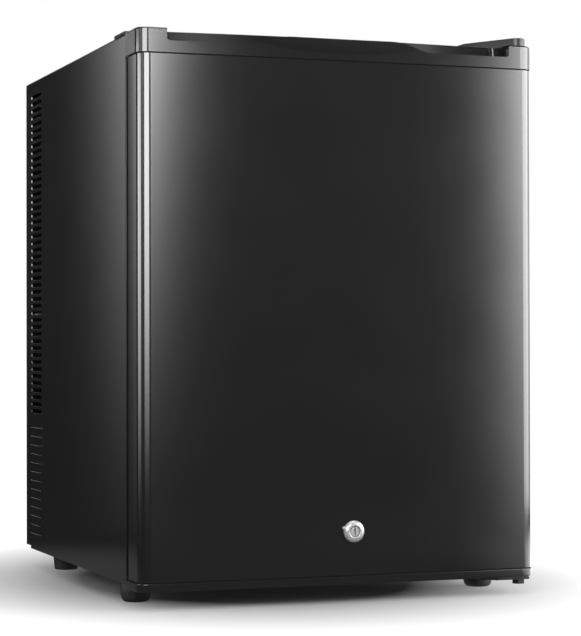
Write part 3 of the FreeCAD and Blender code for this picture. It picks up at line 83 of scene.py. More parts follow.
def linear(hex_colour: str) -> tuple[float, float, float, float]:
    """Turns an sRGB hex colour to the linear one that a shader takes.

    Args:
        hex_colour: six hex digits.

    Returns:
        Red, green, blue and an alpha of 1.
    """
    parts = [int(hex_colour[start:start + 2], 16) / 255 for start in (0, 2, 4)]
    red, green, blue = (
        part / SRGB_TOE_SLOPE if part <= SRGB_TOE_END
        else ((part + SRGB_OFFSET) / (1.0 + SRGB_OFFSET)) ** SRGB_POWER for part in parts)
    return red, green, blue, 1.0


def per_metre(size_mm: float) -> float:
    """The texture scale at which a pattern repeats about every size_mm."""
    return 1.0 / (size_mm * MM)


def blank_tree(owner: bpy.types.ID) -> Tree:
    """The node tree of a material, a world or a lamp, emptied."""
    owner.use_nodes = True
    owner.node_tree.nodes.clear()
    return owner.node_tree


def add_node(
    tree: Tree, kind: str, settings: Optional[dict] = None, inputs: Optional[dict] = None,
) -> bpy.types.Node:
    """Adds a node with its settings and links.

    Args:
        tree: the node tree that it goes into.
        kind: the node's type.
        settings: its own properties by name.
        inputs: values, or output sockets to link, by input name or index.

    Returns:
        The new node.
    """
    node = tree.nodes.new(kind)
    for name, value in (settings or {}).items():
        setattr(node, name, value)
    for key, value in (inputs or {}).items():
        if isinstance(value, Socket):
            tree.links.new(value, node.inputs[key])
        else:
            node.inputs[key].default_value = value
    return node


def math_of(tree: Tree, operation: str, *values: Socket | float) -> Socket:
    """Adds a math node.

    Args:
        tree: the node tree that it goes into.
        operation: what it does.
        values: numbers, or output sockets to link, in order.

    Returns:
        Its result.
    """
    inputs = dict(enumerate(values))
    return add_node(tree, "ShaderNodeMath", {"operation": operation}, inputs).outputs["Value"]


def length_of(tree: Tree, vector: Socket) -> Socket:
    """Adds a node that gives the length of a vector."""
    node = add_node(tree, "ShaderNodeVectorMath", {"operation": "LENGTH"}, {0: vector})
    return node.outputs["Value"]


def ramp(
    tree: Tree, value: Socket, start: float, end: float, low: float = 0.0, high: float = 1.0,
    smooth: bool = False,
) -> Socket:
    """Adds a node whose result runs from low to high while the value runs from start to end.

    Args:
        tree: the node tree that it goes into.
        value: what it follows.
        start: the value where it starts to change.
        end: the value where it stops.
        low: its result up to the start.
        high: its result from the end on.
        smooth: whether it sets off and stops softly.

    Returns:
        Its result.
    """
    node = add_node(
        tree, "ShaderNodeMapRange", {"interpolation_type": "SMOOTHSTEP" if smooth else "LINEAR"},
        {"Value": value, "From Min": start, "From Max": end, "To Min": low, "To Max": high})
    return node.outputs["Result"]


def noise(
    tree: Tree, place: Socket, size_mm: float, detail: float, roughness: float = 0.5,
) -> Socket:
    """Adds a noise texture whose spots are about size_mm apart."""
    node = add_node(tree, "ShaderNodeTexNoise", inputs={
        "Vector": place, "Scale": per_metre(size_mm), "Detail": detail, "Roughness": roughness})
    return node.outputs["Fac"]


def cells_of(
    tree: Tree, place: Socket, size_mm: float, distance: str = "EUCLIDEAN",
) -> bpy.types.bpy_prop_collection:
    """Adds a pattern of cells about size_mm across, and gives its outputs."""
    return add_node(
        tree, "ShaderNodeTexVoronoi", {"distance": distance},
        {"Vector": place, "Scale": per_metre(size_mm)}).outputs


def mixed(tree: Tree, share: Socket, first: str, second: str) -> Socket:
    """Adds a mix of two sRGB hex colours, which the share shifts from the first to the second."""
    node = add_node(
        tree, "ShaderNodeMix", {"data_type": "RGBA"},
        {"Factor": share, "A": linear(first), "B": linear(second)})
    return node.outputs["Result"]


@dataclass(frozen=True)
class Finish:
    """A finish: its colour drifts from place to place, and its grain tilts the surface.

    Args:
        name: the real material and how its surface was made.
        colour: sRGB hex of the clean surface.
        drift_colour: sRGB hex that it drifts to.
        roughness: of the clean surface.
        grain_mm: spacing of the grain.
        grain_depth_mm: height of the grain.
        drift_mm: spacing of the drift of colour and roughness.
        roughness_spread: how far the roughness drifts.
        ior: refractive index.
        metallic: 1 for bare metal.
        specular: level of the reflection, 0.5 for what the index gives.
        transmission: share of light let through.
    """

    name: str
    colour: str
    drift_colour: str
    roughness: float
    grain_mm: float
    grain_depth_mm: float
    drift_mm: float = 45.0
    roughness_spread: float = 0.04
    ior: float = 1.5
    metallic: float = 0.0
    specular: float = 0.5
    transmission: float = 0.0

    def pattern(self, tree: Tree, place: Socket) -> Socket:
        """The height of the grain."""
        return noise(tree, place, self.grain_mm, GRAIN_DETAIL)

    def tint(self, tree: Tree, place: Socket, drift: Socket) -> Socket:
        """The colour."""
        return mixed(tree, drift, self.colour, self.drift_colour)

    def build(self) -> bpy.types.Material:
        """Makes the material.

        Returns:
            The node-based material.
        """
        material = bpy.data.materials.new(self.name)
        tree = blank_tree(material)
        place = add_node(tree, "ShaderNodeTexCoord").outputs["Object"]
        drift = noise(tree, place, self.drift_mm, DRIFT_DETAIL, DRIFT_ROUGHNESS)
        rough = ramp(
            tree, drift, DRIFT_START, DRIFT_END,
            max(self.roughness - self.roughness_spread, LEAST_ROUGHNESS),
            self.roughness + self.roughness_spread)
        bump = add_node(tree, "ShaderNodeBump", inputs={
            "Height": self.pattern(tree, place), "Distance": self.grain_depth_mm * MM})
        shader = add_node(tree, "ShaderNodeBsdfPrincipled", inputs={
            "Base Color": self.tint(tree, place, drift), "Roughness": rough,
            "Normal": bump.outputs["Normal"], "IOR": self.ior, "Metallic": self.metallic,
            "Specular IOR Level": self.specular, "Transmission Weight": self.transmission})
        add_node(tree, "ShaderNodeOutputMaterial", inputs={"Surface": shader.outputs["BSDF"]})
        material.diffuse_color = linear(self.colour)
        return material


@dataclass(frozen=True)
class SpangledZinc(Finish):
    """Hot-dip galvanised sheet, whose zinc crystals show as flat patches of different grey."""

    spangle_mm: float = 9.0

    def tint(self, tree: Tree, place: Socket, drift: Socket) -> Socket:
        """Patches of grey, one to a crystal."""
        cells = cells_of(tree, place, self.spangle_mm)
        grey = add_node(tree, "ShaderNodeSeparateColor", inputs={"Color": cells["Color"]})
        return mixed(tree, grey.outputs["Red"], self.colour, self.drift_colour)


@dataclass(frozen=True)
class DrawnMetal(Finish):
    """Extruded, drawn or brushed metal, whose grain runs in long lines along one axis."""

    along: Axis = Axis.Z
    line_stretch: float = 0.04

    def pattern(self, tree: Tree, place: Socket) -> Socket:
        """Fine lines along the axis."""
        stretch = tuple(self.line_stretch if part else 1.0 for part in self.along.value)
        lines = add_node(tree, "ShaderNodeMapping", inputs={"Vector": place, "Scale": stretch})
        return noise(tree, lines.outputs["Vector"], self.grain_mm, LINE_DETAIL)


@dataclass(frozen=True)
class CellFoam(Finish):
    """Rigid foam with open cells on its cut face."""

    def pattern(self, tree: Tree, place: Socket) -> Socket:
        """Round cells."""
        return cells_of(tree, place, self.grain_mm)["Distance"]


@dataclass(frozen=True)
class SolderMask(Finish):
    """Green solder mask over copper tracks, which show as lighter lines with square turns."""

    pitch_mm: float = 4.4
    track_start_share: float = 0.42
    track_end_share: float = 0.5

    def tint(self, tree: Tree, place: Socket, drift: Socket) -> Socket:
        """Tracks where the cells of a square pattern meet."""
        cells = cells_of(tree, place, self.pitch_mm, "CHEBYCHEV")
        track = ramp(tree, cells["Distance"], self.track_start_share, self.track_end_share)
        return mixed(tree, track, self.colour, self.drift_colour)


FINISHES: dict[str, Finish] = {
    # Roller-coated sheet has a soft sheen: the glow of a lamp fades slowly across it.
    "painted_steel_black": Finish(
        "steel_sheet_black_roller_coated", "101011", "131314", 0.13, 1.6, 0.0005, 60.0, 0.008,
        specular=1.0),
    "bracket_steel_black": Finish(
        "steel_bracket_black_e_coat", "191919", "1f1f1f", 0.42, 0.8, 0.004),
    "galvanised_steel": SpangledZinc(
        "steel_sheet_hot_dip_galvanised", "9c9ea0", "b4b6b8", 0.42, 3.0, 0.006, metallic=1.0),
    "screw_steel": DrawnMetal(
        "steel_screw_zinc_plated", "b2b3b5", "9a9b9d", 0.3, 0.5, 0.004, metallic=1.0),
    # Moulded from a lightly spark-eroded tool, which leaves a satin skin.
    "black_abs": Finish(
        "abs_black_moulded_satin", "101011", "131314", 0.16, 0.7, 0.0008, 50.0, 0.015,
        specular=0.8),
    "fan_plastic": Finish("pbt_black_moulded", "171717", "1d1d1d", 0.4, 0.9, 0.003),
    "white_acetal": Finish("acetal_white_moulded", "e6e6e0", "dcdcd6", 0.32, 1.2, 0.002),
    "black_rubber": Finish("rubber_black_moulded", "0f0f0f", "171717", 0.6, 0.7, 0.01),
    # Vacuum-formed sheet is glossy with a slight orange peel.
    "liner_plastic": Finish(
        "polystyrene_white_vacuum_formed", "e9ebec", "e2e4e6", 0.24, 4.0, 0.008),
    "insulation_foam": CellFoam("polyurethane_foam_cut", "d9c27e", "c8ae68", 0.9, 1.4, 0.25),
    # Matt near-black for the magnetic seal; the door's seam strips take it too, where it is painted
    # shade in the seams.
    "seal_vinyl": Finish(
        "vinyl_seal_black_and_seam_shade", "0b0b0b", "101010", 0.85, 1.0, 0.006, specular=0.15),
    "circuit_board": SolderMask(
        "glass_epoxy_green_solder_mask", "12492c", "2c7a48", 0.32, 1.0, 0.01),
    "coated_wire": Finish("steel_wire_white_dip_coated", "e4e6e6", "dadcdc", 0.3, 1.5, 0.01),
    "clear_bin_plastic": Finish(
        "polystyrene_clear_moulded", "f2f6f8", "eef3f5", 0.12, 6.0, 0.004, ior=1.59,
        transmission=0.92),
    "bare_aluminium": DrawnMetal(
        "aluminium_extruded_bare", "d2d4d6", "bfc1c4", 0.34, 0.6, 0.006, metallic=1.0),
    "module_ceramic": Finish("alumina_ceramic_lapped", "ecebe6", "e2e1dc", 0.6, 0.6, 0.003),
    "clear_lens": Finish(
        "acrylic_opal_moulded", "f4f5f2", "eceee9", 0.35, 2.0, 0.01, ior=1.49, transmission=0.6),
    "lock_chrome": DrawnMetal(
        "zinc_die_cast_silver_lacquered", "acadaf", "a0a1a3", 0.32, 1.2, 0.0008, metallic=0.5,
        roughness_spread=0.03, along=Axis.Y, line_stretch=1.0),
}


# Building pieces

# Points closer than this are one: in a turned piece, and in a node's mesh.
TURNED_MERGE_MM, NODE_MERGE_MM = 0.001, 0.002
# Faces of a node's mesh that meet at less than this are parts of one flat face.
FLAT_DEG = 0.4
# Edges sharper than this are eased, with so many faces across.
EASED_DEG, EASED_SEGMENTS = 40.0, 2
# A face looks along an axis where its normal has more than this along it.
FACING = 0.5
TURNED_STEPS = 64


def placed(name: str, data: bpy.types.ID) -> Piece:
    """Puts a mesh, a lamp or a camera into the scene."""
    thing = bpy.data.objects.new(name, data)
    bpy.context.scene.collection.objects.link(thing)
    return thing


def box_of(node: str) -> tuple[Vector, Vector]:
    """The lowest and highest corner of a CAD node, in metres."""
    low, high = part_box(node)
    return Vector(low), Vector(high)


def block(low: Vector, high: Vector) -> Mesh:
    """A new bmesh with a rectangular block between two corners."""
    bm = bmesh.new()
    size = high - low
    bmesh.ops.create_cube(bm, size=1.0)
    bmesh.ops.scale(bm, vec=size, verts=bm.verts)
    bmesh.ops.translate(bm, vec=(low + high) / 2, verts=bm.verts)
    return bm


def sharp_edges(bm: Mesh, angle_deg: float) -> list[bmesh.types.BMEdge]:
    """The edges where two faces meet at more than an angle."""
    limit = math.radians(angle_deg)
    return [e for e in bm.edges if len(e.link_faces) == 2 and e.calc_face_angle(0.0) > limit]


def round_off(
    bm: Mesh, parts: Iterable[bmesh.types.BMEdge | bmesh.types.BMVert], width_mm: float,
    segments: int, affect: str = "EDGES",
) -> None:
    """Rounds edges, or the corners of flat faces.

    Args:
        bm: the mesh.
        parts: what is rounded.
        width_mm: how far the rounding reaches on each side.
        segments: how many faces it has across.
        affect: EDGES or VERTICES, as the parts are.
    """
    bmesh.ops.bevel(
        bm, geom=list(parts), offset=width_mm * MM, offset_type="OFFSET", segments=segments,
        profile=0.5, affect=affect, clamp_overlap=True, material=-1)


def turned(
    profile_mm: Sequence[tuple[float, float]], centre: Vector, axis: Axis,
    steps: int = TURNED_STEPS,
) -> Mesh:
    """A turned piece.

    Args:
        profile_mm: (radius, place along the axis) pairs, in order from one end to the other.
        centre: the point that places are counted from.
        axis: what it turns about, Y or Z.
        steps: how many faces it has around.

    Returns:
        A new bmesh.
    """
    bm = bmesh.new()
    points = [
        bm.verts.new(centre + Axis.X.value * radius * MM + axis.value * place * MM)
        for radius, place in profile_mm]
    edges = [bm.edges.new(pair) for pair in zip(points, points[1:])]
    bmesh.ops.spin(
        bm, geom=points + edges, cent=centre, axis=axis.value, angle=math.tau, steps=steps,
        use_merge=True, use_duplicate=False)
    bmesh.ops.remove_doubles(bm, verts=bm.verts, dist=TURNED_MERGE_MM * MM)
    bmesh.ops.recalc_face_normals(bm, faces=bm.faces)
    return bm


def node_copy(node: str) -> Mesh:
    """A merged copy of a CAD node's mesh, with its flat faces joined."""
    bm = bmesh.new()
    bm.from_mesh(frame["nodes"][node].data)
    bmesh.ops.remove_doubles(bm, verts=bm.verts, dist=NODE_MERGE_MM * MM)
    bmesh.ops.dissolve_limit(
        bm, angle_limit=math.radians(FLAT_DEG), use_dissolve_boundaries=False, verts=bm.verts,
        edges=bm.edges)
    return bm


def put_together(parts: Sequence[Mesh]) -> Mesh:
    """Puts several meshes into one, and frees them."""
    whole = bmesh.new()
    for part in parts:
        mesh = bpy.data.meshes.new("part")
        part.to_mesh(mesh)
        part.free()
        whole.from_mesh(mesh)
        bpy.data.meshes.remove(mesh)
    return whole


def rows_of(bm: Mesh, count: int, step: Vector) -> Mesh:
    """Repeats a whole mesh in a row.

    Args:
        bm: the mesh, which is added to.
        count: how many there are in the end.
        step: from one to the next.

    Returns:
        The same bmesh.
    """
    first = bm.verts[:] + bm.edges[:] + bm.faces[:]
    for index in range(1, count):
        made = bmesh.ops.duplicate(bm, geom=first)["geom"]
        verts = [part for part in made if isinstance(part, bmesh.types.BMVert)]
        bmesh.ops.translate(bm, vec=step * index, verts=verts)
    return bm


class Workshop:
    """Turns meshes into pieces that ride on their bodies and have their finish."""

    def __init__(self) -> None:
        """Builds every finish, and reads which node has which."""
        self.materials = {slot: finish.build() for slot, finish in FINISHES.items()}
        record = frame["record"]
        self.slot_of = {row["node"]: row["material_slot"] for row in record["subparts"]}
        bodies = record["behaviour"]["bodies"]
        self.body_of = {node: body for body, nodes in bodies.items() for node in nodes}

    def paint(self, piece: Piece, slot: str) -> None:
        """Gives a piece the material of a slot."""
        piece.data.materials.clear()
        piece.data.materials.append(self.materials[slot])

    def carry_over(self) -> None:
        """Gives every CAD node its finish."""
        for node, piece in frame["nodes"].items():
            if piece.material_slots:
                for place in piece.material_slots:
                    place.material = self.materials[self.slot_of[node]]
            else:
                self.paint(piece, self.slot_of[node])

    def piece(
        self, bm: Mesh, name: str, node: str, replaced: Sequence[str] = (),
        smooth_deg: float = 35.0, slot: Optional[str] = None, weighted: bool = True,
    ) -> Piece:
        """Makes a piece from a mesh.

        Args:
            bm: the mesh, which is freed.
            name: the piece's name.
            node: the CAD node whose body it rides on and whose slot it takes.
            replaced: the CAD nodes that it stands for.
            smooth_deg: faces that meet at less than this are shaded as one.
            slot: another material slot than the node's.
            weighted: whether large faces keep their normals.

        Returns:
            The piece.
        """
        for face in bm.faces:
            face.smooth = True
        for edge in sharp_edges(bm, smooth_deg):
            edge.smooth = False
        mesh = bpy.data.meshes.new(name)
        bm.to_mesh(mesh)
        bm.free()
        piece = placed(name, mesh)
        chosen = slot or self.slot_of[node]
        self.paint(piece, chosen)
        if weighted:
            keeper = piece.modifiers.new("flat faces stay flat", "WEIGHTED_NORMAL")
            keeper.keep_sharp = True
        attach(piece, self.body_of[node])
        if replaced:
            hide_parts(*replaced)
        log.info("piece %s: %d faces on body %s", name, len(mesh.polygons), self.body_of[node])
        return piece

    def eased(self, node: str, width_mm: float, slot: Optional[str] = None) -> None:
        """Makes a finer copy of a CAD node with its sharp edges eased, which stands for it.

        Args:
            node: the CAD node.
            width_mm: how far the easing reaches, or 0 for none.
            slot: another material slot than the node's.
        """
        bm = node_copy(node)
        if width_mm > 0.0:
            round_off(bm, sharp_edges(bm, EASED_DEG), width_mm, EASED_SEGMENTS)
        self.piece(bm, node + "_eased", node, (node,), slot=slot)


# The door


def bent_sheet(low: Vector, high: Vector, radius_mm: float, segments: int) -> Mesh:
    """A sheet bent round both upright front edges of a block, open behind, above and below.

    Args:
        low: the block's lowest corner.
        high: its highest corner.
        radius_mm: of both bends.
        segments: how many faces a bend has.

    Returns:
        A new bmesh.
    """
    bm = block(low, high)
    bm.normal_update()
    doomed = [f for f in bm.faces if f.normal.y > FACING or abs(f.normal.z) > FACING]
    bmesh.ops.delete(bm, geom=doomed, context="FACES")
    round_off(bm, [e for e in bm.edges if len(e.link_faces) == 2], radius_mm, segments)
    return bm


@dataclass
class DoorSkin:
    """The steel skin, one sheet bent round both upright edges, and a matt black strip in each seam
    above and below it, which paints the seam's shade.
    """

    edge_radius: float = 11.2
    sheet: float = 0.8
    bend_segments: int = 20
    seam: float = 1.1
    shade_strip_set_in: float = 0.5
    smooth_deg: float = 60.0

    def build(self, shop: Workshop) -> None:
        """Makes the skin and both strips of painted shade in its seams."""
        low, high = box_of("door_panel")
        skin = shop.piece(
            bent_sheet(low, high, self.edge_radius, self.bend_segments), "door_skin_bent",
            "door_panel", ("door_panel",), self.smooth_deg, weighted=False)
        self.thicken(skin)
        # Each seam gets a matt near-black strip in the seal's finish: painted shade standing for
        # the dark groove between skin and cap.
        inward = Vector((self.shade_strip_set_in, self.shade_strip_set_in, 0.0)) * MM
        levels = {
            "upper": (high.z, high.z + self.seam * MM), "lower": (low.z - self.seam * MM, low.z)}
        for name, (bottom, top) in levels.items():
            start = Vector((low.x, low.y, bottom)) + inward
            end = Vector((high.x - inward.x, high.y, top))
            shade_strip = bent_sheet(
                start, end, self.edge_radius - self.shade_strip_set_in, self.bend_segments)
            self.thicken(shop.piece(
                shade_strip, "seam_shade_strip_" + name, "door_panel", (), self.smooth_deg,
                slot="seal_vinyl", weighted=False))

    def thicken(self, piece: Piece) -> None:
        """Gives a bent piece its thickness, and keeps its flat faces flat."""
        wall = piece.modifiers.new("sheet", "SOLIDIFY")
        wall.thickness = self.sheet * MM
        wall.offset = -1.0
        wall.use_even_offset = True
        keeper = piece.modifiers.new("flat face stays flat", "WEIGHTED_NORMAL")
        keeper.mode = "FACE_AREA"


@dataclass
class TopCap:
    """The moulded top cap, whose trough has a back wall with draft."""

    floor_wall: float = 2.8
    lip_wall: float = 4.0
    draft: float = 4.5
    blend: float = 10.0
    ease: float = 0.5
    level_slack: float = 0.05

    def build(self, shop: Workshop) -> None:
        """Leans the trough's back wall, then eases the edges."""
        bm = node_copy("door_top_cap")
        low = box_of("door_top_cap")[0]
        floor, front = low.z + self.floor_wall * MM, low.y + self.lip_wall * MM
        for vert in bm.verts:
            if abs(vert.co.z - floor) < self.level_slack * MM:
                share = min(max((vert.co.y - front) / (self.blend * MM), 0.0), 1.0)
                vert.co.y -= self.draft * MM * share
        round_off(bm, sharp_edges(bm, EASED_DEG), self.ease, EASED_SEGMENTS)
        shop.piece(bm, "door_top_cap_eased", "door_top_cap", ("door_top_cap",))


@dataclass
class CamLock:
    """The silver-lacquered cam lock: a domed bezel on its barrel, and the plug with its keyway.

    Args:
        proud: how far its face stands before the door.
        mouth: how far its mouth is wider than the bore, and how far behind the face.
        dome: radius of its dome, and how far behind the face.
        ear_place: the small ear's place from the middle, to the right and up.
        ring: the gap round the plug.
        tail_radius: of the barrel behind the nut.
        overrun: how far the keyway's cutter stands out.
    """

    bezel_radius: float = 10.3
    rim: float = 1.2
    rim_ease: float = 0.15
    proud: float = 4.0
    mouth: tuple[tuple[float, float], ...] = ((0.0, 0.9), (0.3, 0.25), (0.8, 0.0))
    dome: tuple[tuple[float, float], ...] = (
        (6.4, 0.02), (7.5, 0.3), (8.6, 0.85), (9.5, 1.6), (10.0, 2.4))
    ear_radius: float = 1.9
    ear_height: float = 2.4
    ear_ease: float = 0.6
    ear_place: tuple[float, float] = (-9.8, 3.2)
    ear_steps: int = 32
    bezel_steps: int = 96
    plug_radius: float = 4.7
    plug_ease: float = 0.4
    ring: float = 0.35
    barrel_radius: float = 8.0
    tail_radius: float = 6.0
    keyway_width: float = 1.8
    keyway_height: float = 7.0
    keyway_depth: float = 3.0
    overrun: float = 1.0

    def build(self, shop: Workshop) -> None:
        """Makes the bezel with its barrel, and the plug."""
        low, high = box_of("lock_barrel")
        middle = (box_of("lock_plug")[0] + box_of("lock_plug")[1]) / 2
        centre = Vector((middle.x, low.y + self.proud * MM, middle.z))
        length = (high.y - centre.y) / MM
        shoulder = (box_of("lock_nut")[1].y - centre.y) / MM
        bore = self.plug_radius + self.ring
        profile = [(bore, length)]
        profile += [(bore + wider, behind - self.proud) for wider, behind in self.mouth]
        profile += [(radius, behind - self.proud) for radius, behind in self.dome]
        profile += [
            (self.bezel_radius, -self.rim), (self.bezel_radius, -self.rim_ease),
            (self.bezel_radius - self.rim_ease, 0.0), (self.barrel_radius, 0.0),
            (self.barrel_radius, shoulder), (self.tail_radius, shoulder),
            (self.tail_radius, length), (bore, length)]
        bezel = turned(profile, centre, Axis.Y, self.bezel_steps)
        shop.piece(
            put_together([bezel, self.ear(centre)]), "lock_barrel_turned", "lock_barrel",
            ("lock_barrel",), smooth_deg=50.0)
        self.plug(shop, centre)

    def ear(self, centre: Vector) -> Mesh:
        """Turns the ear."""
        aside = centre + Vector((self.ear_place[0], 0.0, self.ear_place[1])) * MM
        profile = [
            (0.0, -self.ear_height), (self.ear_radius - self.ear_ease, -self.ear_height),
            (self.ear_radius, -self.ear_height + self.ear_ease), (self.ear_radius, 0.0),
            (0.0, 0.0)]
        return turned(profile, aside, Axis.Y, self.ear_steps)

    def plug(self, shop: Workshop, centre: Vector) -> None:
        """Makes the plug, with a keyway cut into its face."""
        low, high = box_of("lock_plug")
        face = (low.y - centre.y) / MM
        end = (high.y - centre.y) / MM
        profile = [
            (0.0, face), (self.plug_radius - self.plug_ease, face),
            (self.plug_radius, face + self.plug_ease), (self.plug_radius, end), (0.0, end)]
        plug = shop.piece(
            turned(profile, centre, Axis.Y), "lock_plug_turned", "lock_plug", ("lock_plug",),
            smooth_deg=40.0, weighted=False)
        half = Vector((self.keyway_width / 2, 0.0, self.keyway_height / 2)) * MM
        cut = block(
            Vector((centre.x, low.y - self.overrun * MM, centre.z)) - half,
            Vector((centre.x, low.y + self.keyway_depth * MM, centre.z)) + half)
        cut_away(plug, cut, "keyway")


@dataclass
class SealLip:
    """The outer lip of the magnetic seal, which lies flat on the inner panel's rim."""

    thickness: float = 0.5
    set_in: float = 1.2
    under_seal: float = 1.0

    def build(self, shop: Workshop) -> None:
        """Lays four strips round the seal."""
        seal_low, seal_high = box_of("door_gasket")
        rim_low, rim_high = box_of("door_liner")
        inward = Vector((self.set_in, 0.0, self.set_in)) * MM
        under = Vector((self.under_seal, 0.0, self.under_seal)) * MM
        low, high = rim_low + inward, rim_high - inward
        inner_low, inner_high = seal_low + under, seal_high - under
        near, far = seal_low.y, seal_low.y + self.thickness * MM
        strips = (
            (low.x, low.z, inner_low.x, high.z), (inner_high.x, low.z, high.x, high.z),
            (inner_low.x, low.z, inner_high.x, inner_low.z),
            (inner_low.x, inner_high.z, inner_high.x, high.z))
        blocks = [
            block(Vector((left, near, bottom)), Vector((right, far, top)))
            for left, bottom, right, top in strips]
        shop.piece(put_together(blocks), "seal_lip", "door_gasket")


def cut_away(piece: Piece, cutter: Mesh, name: str) -> None:
    """Cuts a shape out of a piece's mesh.

    Args:
        piece: the piece.
        cutter: a closed mesh, which is freed.
        name: a name for the cut.
    """
    mesh = bpy.data.meshes.new(name)
    cutter.to_mesh(mesh)
    cutter.free()
    tool = placed(name, mesh)
    cut = piece.modifiers.new(name, "BOOLEAN")
    cut.operation = "DIFFERENCE"
    cut.solver = "EXACT"
    cut.object = tool
    graph = bpy.context.evaluated_depsgraph_get()
    graph.update()
    result = bpy.data.meshes.new_from_object(piece.evaluated_get(graph))
    piece.modifiers.remove(cut)
    old = piece.data
    piece.data = result
    bpy.data.meshes.remove(old)
    bpy.data.objects.remove(tool)
    bpy.data.meshes.remove(mesh)


# The vents, whose slots and hoods share a length and a margin to the case's rear edge

VENT_LENGTH, VENT_REAR_MARGIN, VENT_SMOOTH_DEG = 47.0, 4.8, 80.0
SIDES = ((-1, "left"), (1, "right"))


@dataclass
class VentRims:
    """The pressed rims of the open slots: each stands a little proud and turns into its slot."""

    count: int = 46
    pitch: float = 7.6695
    top_drop: float = 18.6
    height: float = 4.45
    margin: float = 0.75
    corner: float = 1.5
    corner_segments: int = 3
    sink: float = 0.02
    steps: tuple[tuple[float, float], ...] = (
        (0.35, 0.12), (0.25, 0.03), (0.2, -0.08), (0.1, -0.9))

    def build(self, shop: Workshop) -> None:
        """Makes the rims of both sides."""
        high = box_of("outer_wrapper")[1]
        level = high.z / MM - self.top_drop
        rear = high.y / MM - VENT_REAR_MARGIN
        face = box_of("rear_cover")[1].x / MM
        down = Vector((0.0, 0.0, -self.pitch * MM))
        for side, name in SIDES:
            rims = rows_of(self.ring(side * face, side, rear, level), self.count, down)
            shop.piece(rims, "vent_rims_" + name, "outer_wrapper", smooth_deg=VENT_SMOOTH_DEG)

    def ring(self, face: float, side: int, rear: float, level: float) -> Mesh:
        """Makes one rim.

        Args:
            face: the plane of the case's side, in mm.
            side: -1 for the left side, 1 for the right one.
            rear: where the slot ends, in mm.
            level: the slot's middle height, in mm.

        Returns:
            A new bmesh.
        """
        bm = bmesh.new()
        bmesh.ops.create_grid(bm, x_segments=1, y_segments=1, size=0.5)
        across = (self.height + self.margin * 2) * MM
        along = (VENT_LENGTH + self.margin * 2) * MM
        bmesh.ops.scale(bm, vec=(across, along, 1.0), verts=bm.verts)
        round_off(bm, bm.verts, self.corner, self.corner_segments, "VERTICES")
        turn = Matrix.Rotation(math.radians(90.0 * side), 3, "Y")
        bmesh.ops.rotate(bm, cent=(0.0, 0.0, 0.0), matrix=turn, verts=bm.verts)
        place = Vector((face - side * self.sink, rear - VENT_LENGTH / 2, level)) * MM
        bmesh.ops.translate(bm, vec=place, verts=bm.verts)
        bm.normal_update()
        inner = bm.faces[:]
        for thickness, depth in self.steps:
            bmesh.ops.inset_region(
                bm, faces=inner, thickness=thickness * MM, depth=depth * MM,
                use_even_offset=True, use_boundary=True)
        bmesh.ops.delete(bm, geom=inner, context="FACES_ONLY")
        return bm


@dataclass
class LouvreLips:
    """The rolled lower lips of the hooded louvres."""

    count: int = 13
    pitch: float = 9.661
    first: float = 155.57
    height: float = 4.83
    reach: float = 1.3
    proud: float = 0.15
    roll: float = 0.65
    end_shares: tuple[float, float] = (0.7, 0.3)
    steps: int = 12

    def build(self, shop: Workshop) -> None:
        """Makes the lips of both sides."""
        rear = box_of("outer_wrapper")[1].y / MM - VENT_REAR_MARGIN
        face = box_of("rear_cover")[1].x / MM
        half = VENT_LENGTH / 2
        wide, short = (self.roll * share for share in self.end_shares)
        profile = [
            (0.0, -half), (wide, -half + short), (self.roll, -half + self.roll),
            (self.roll, half - self.roll), (wide, half - short), (0.0, half)]
        down = Vector((0.0, 0.0, -self.pitch * MM))
        for side, name in SIDES:
            out = side * (face + self.reach - self.roll + self.proud)
            lip = Vector((out, rear - half, self.first - self.height / 2 + self.roll)) * MM
            rolls = rows_of(turned(profile, lip, Axis.Y, self.steps), self.count, down)
            shop.piece(rolls, "louvre_lips_" + name, "outer_wrapper", smooth_deg=VENT_SMOOTH_DEG)


# Feet


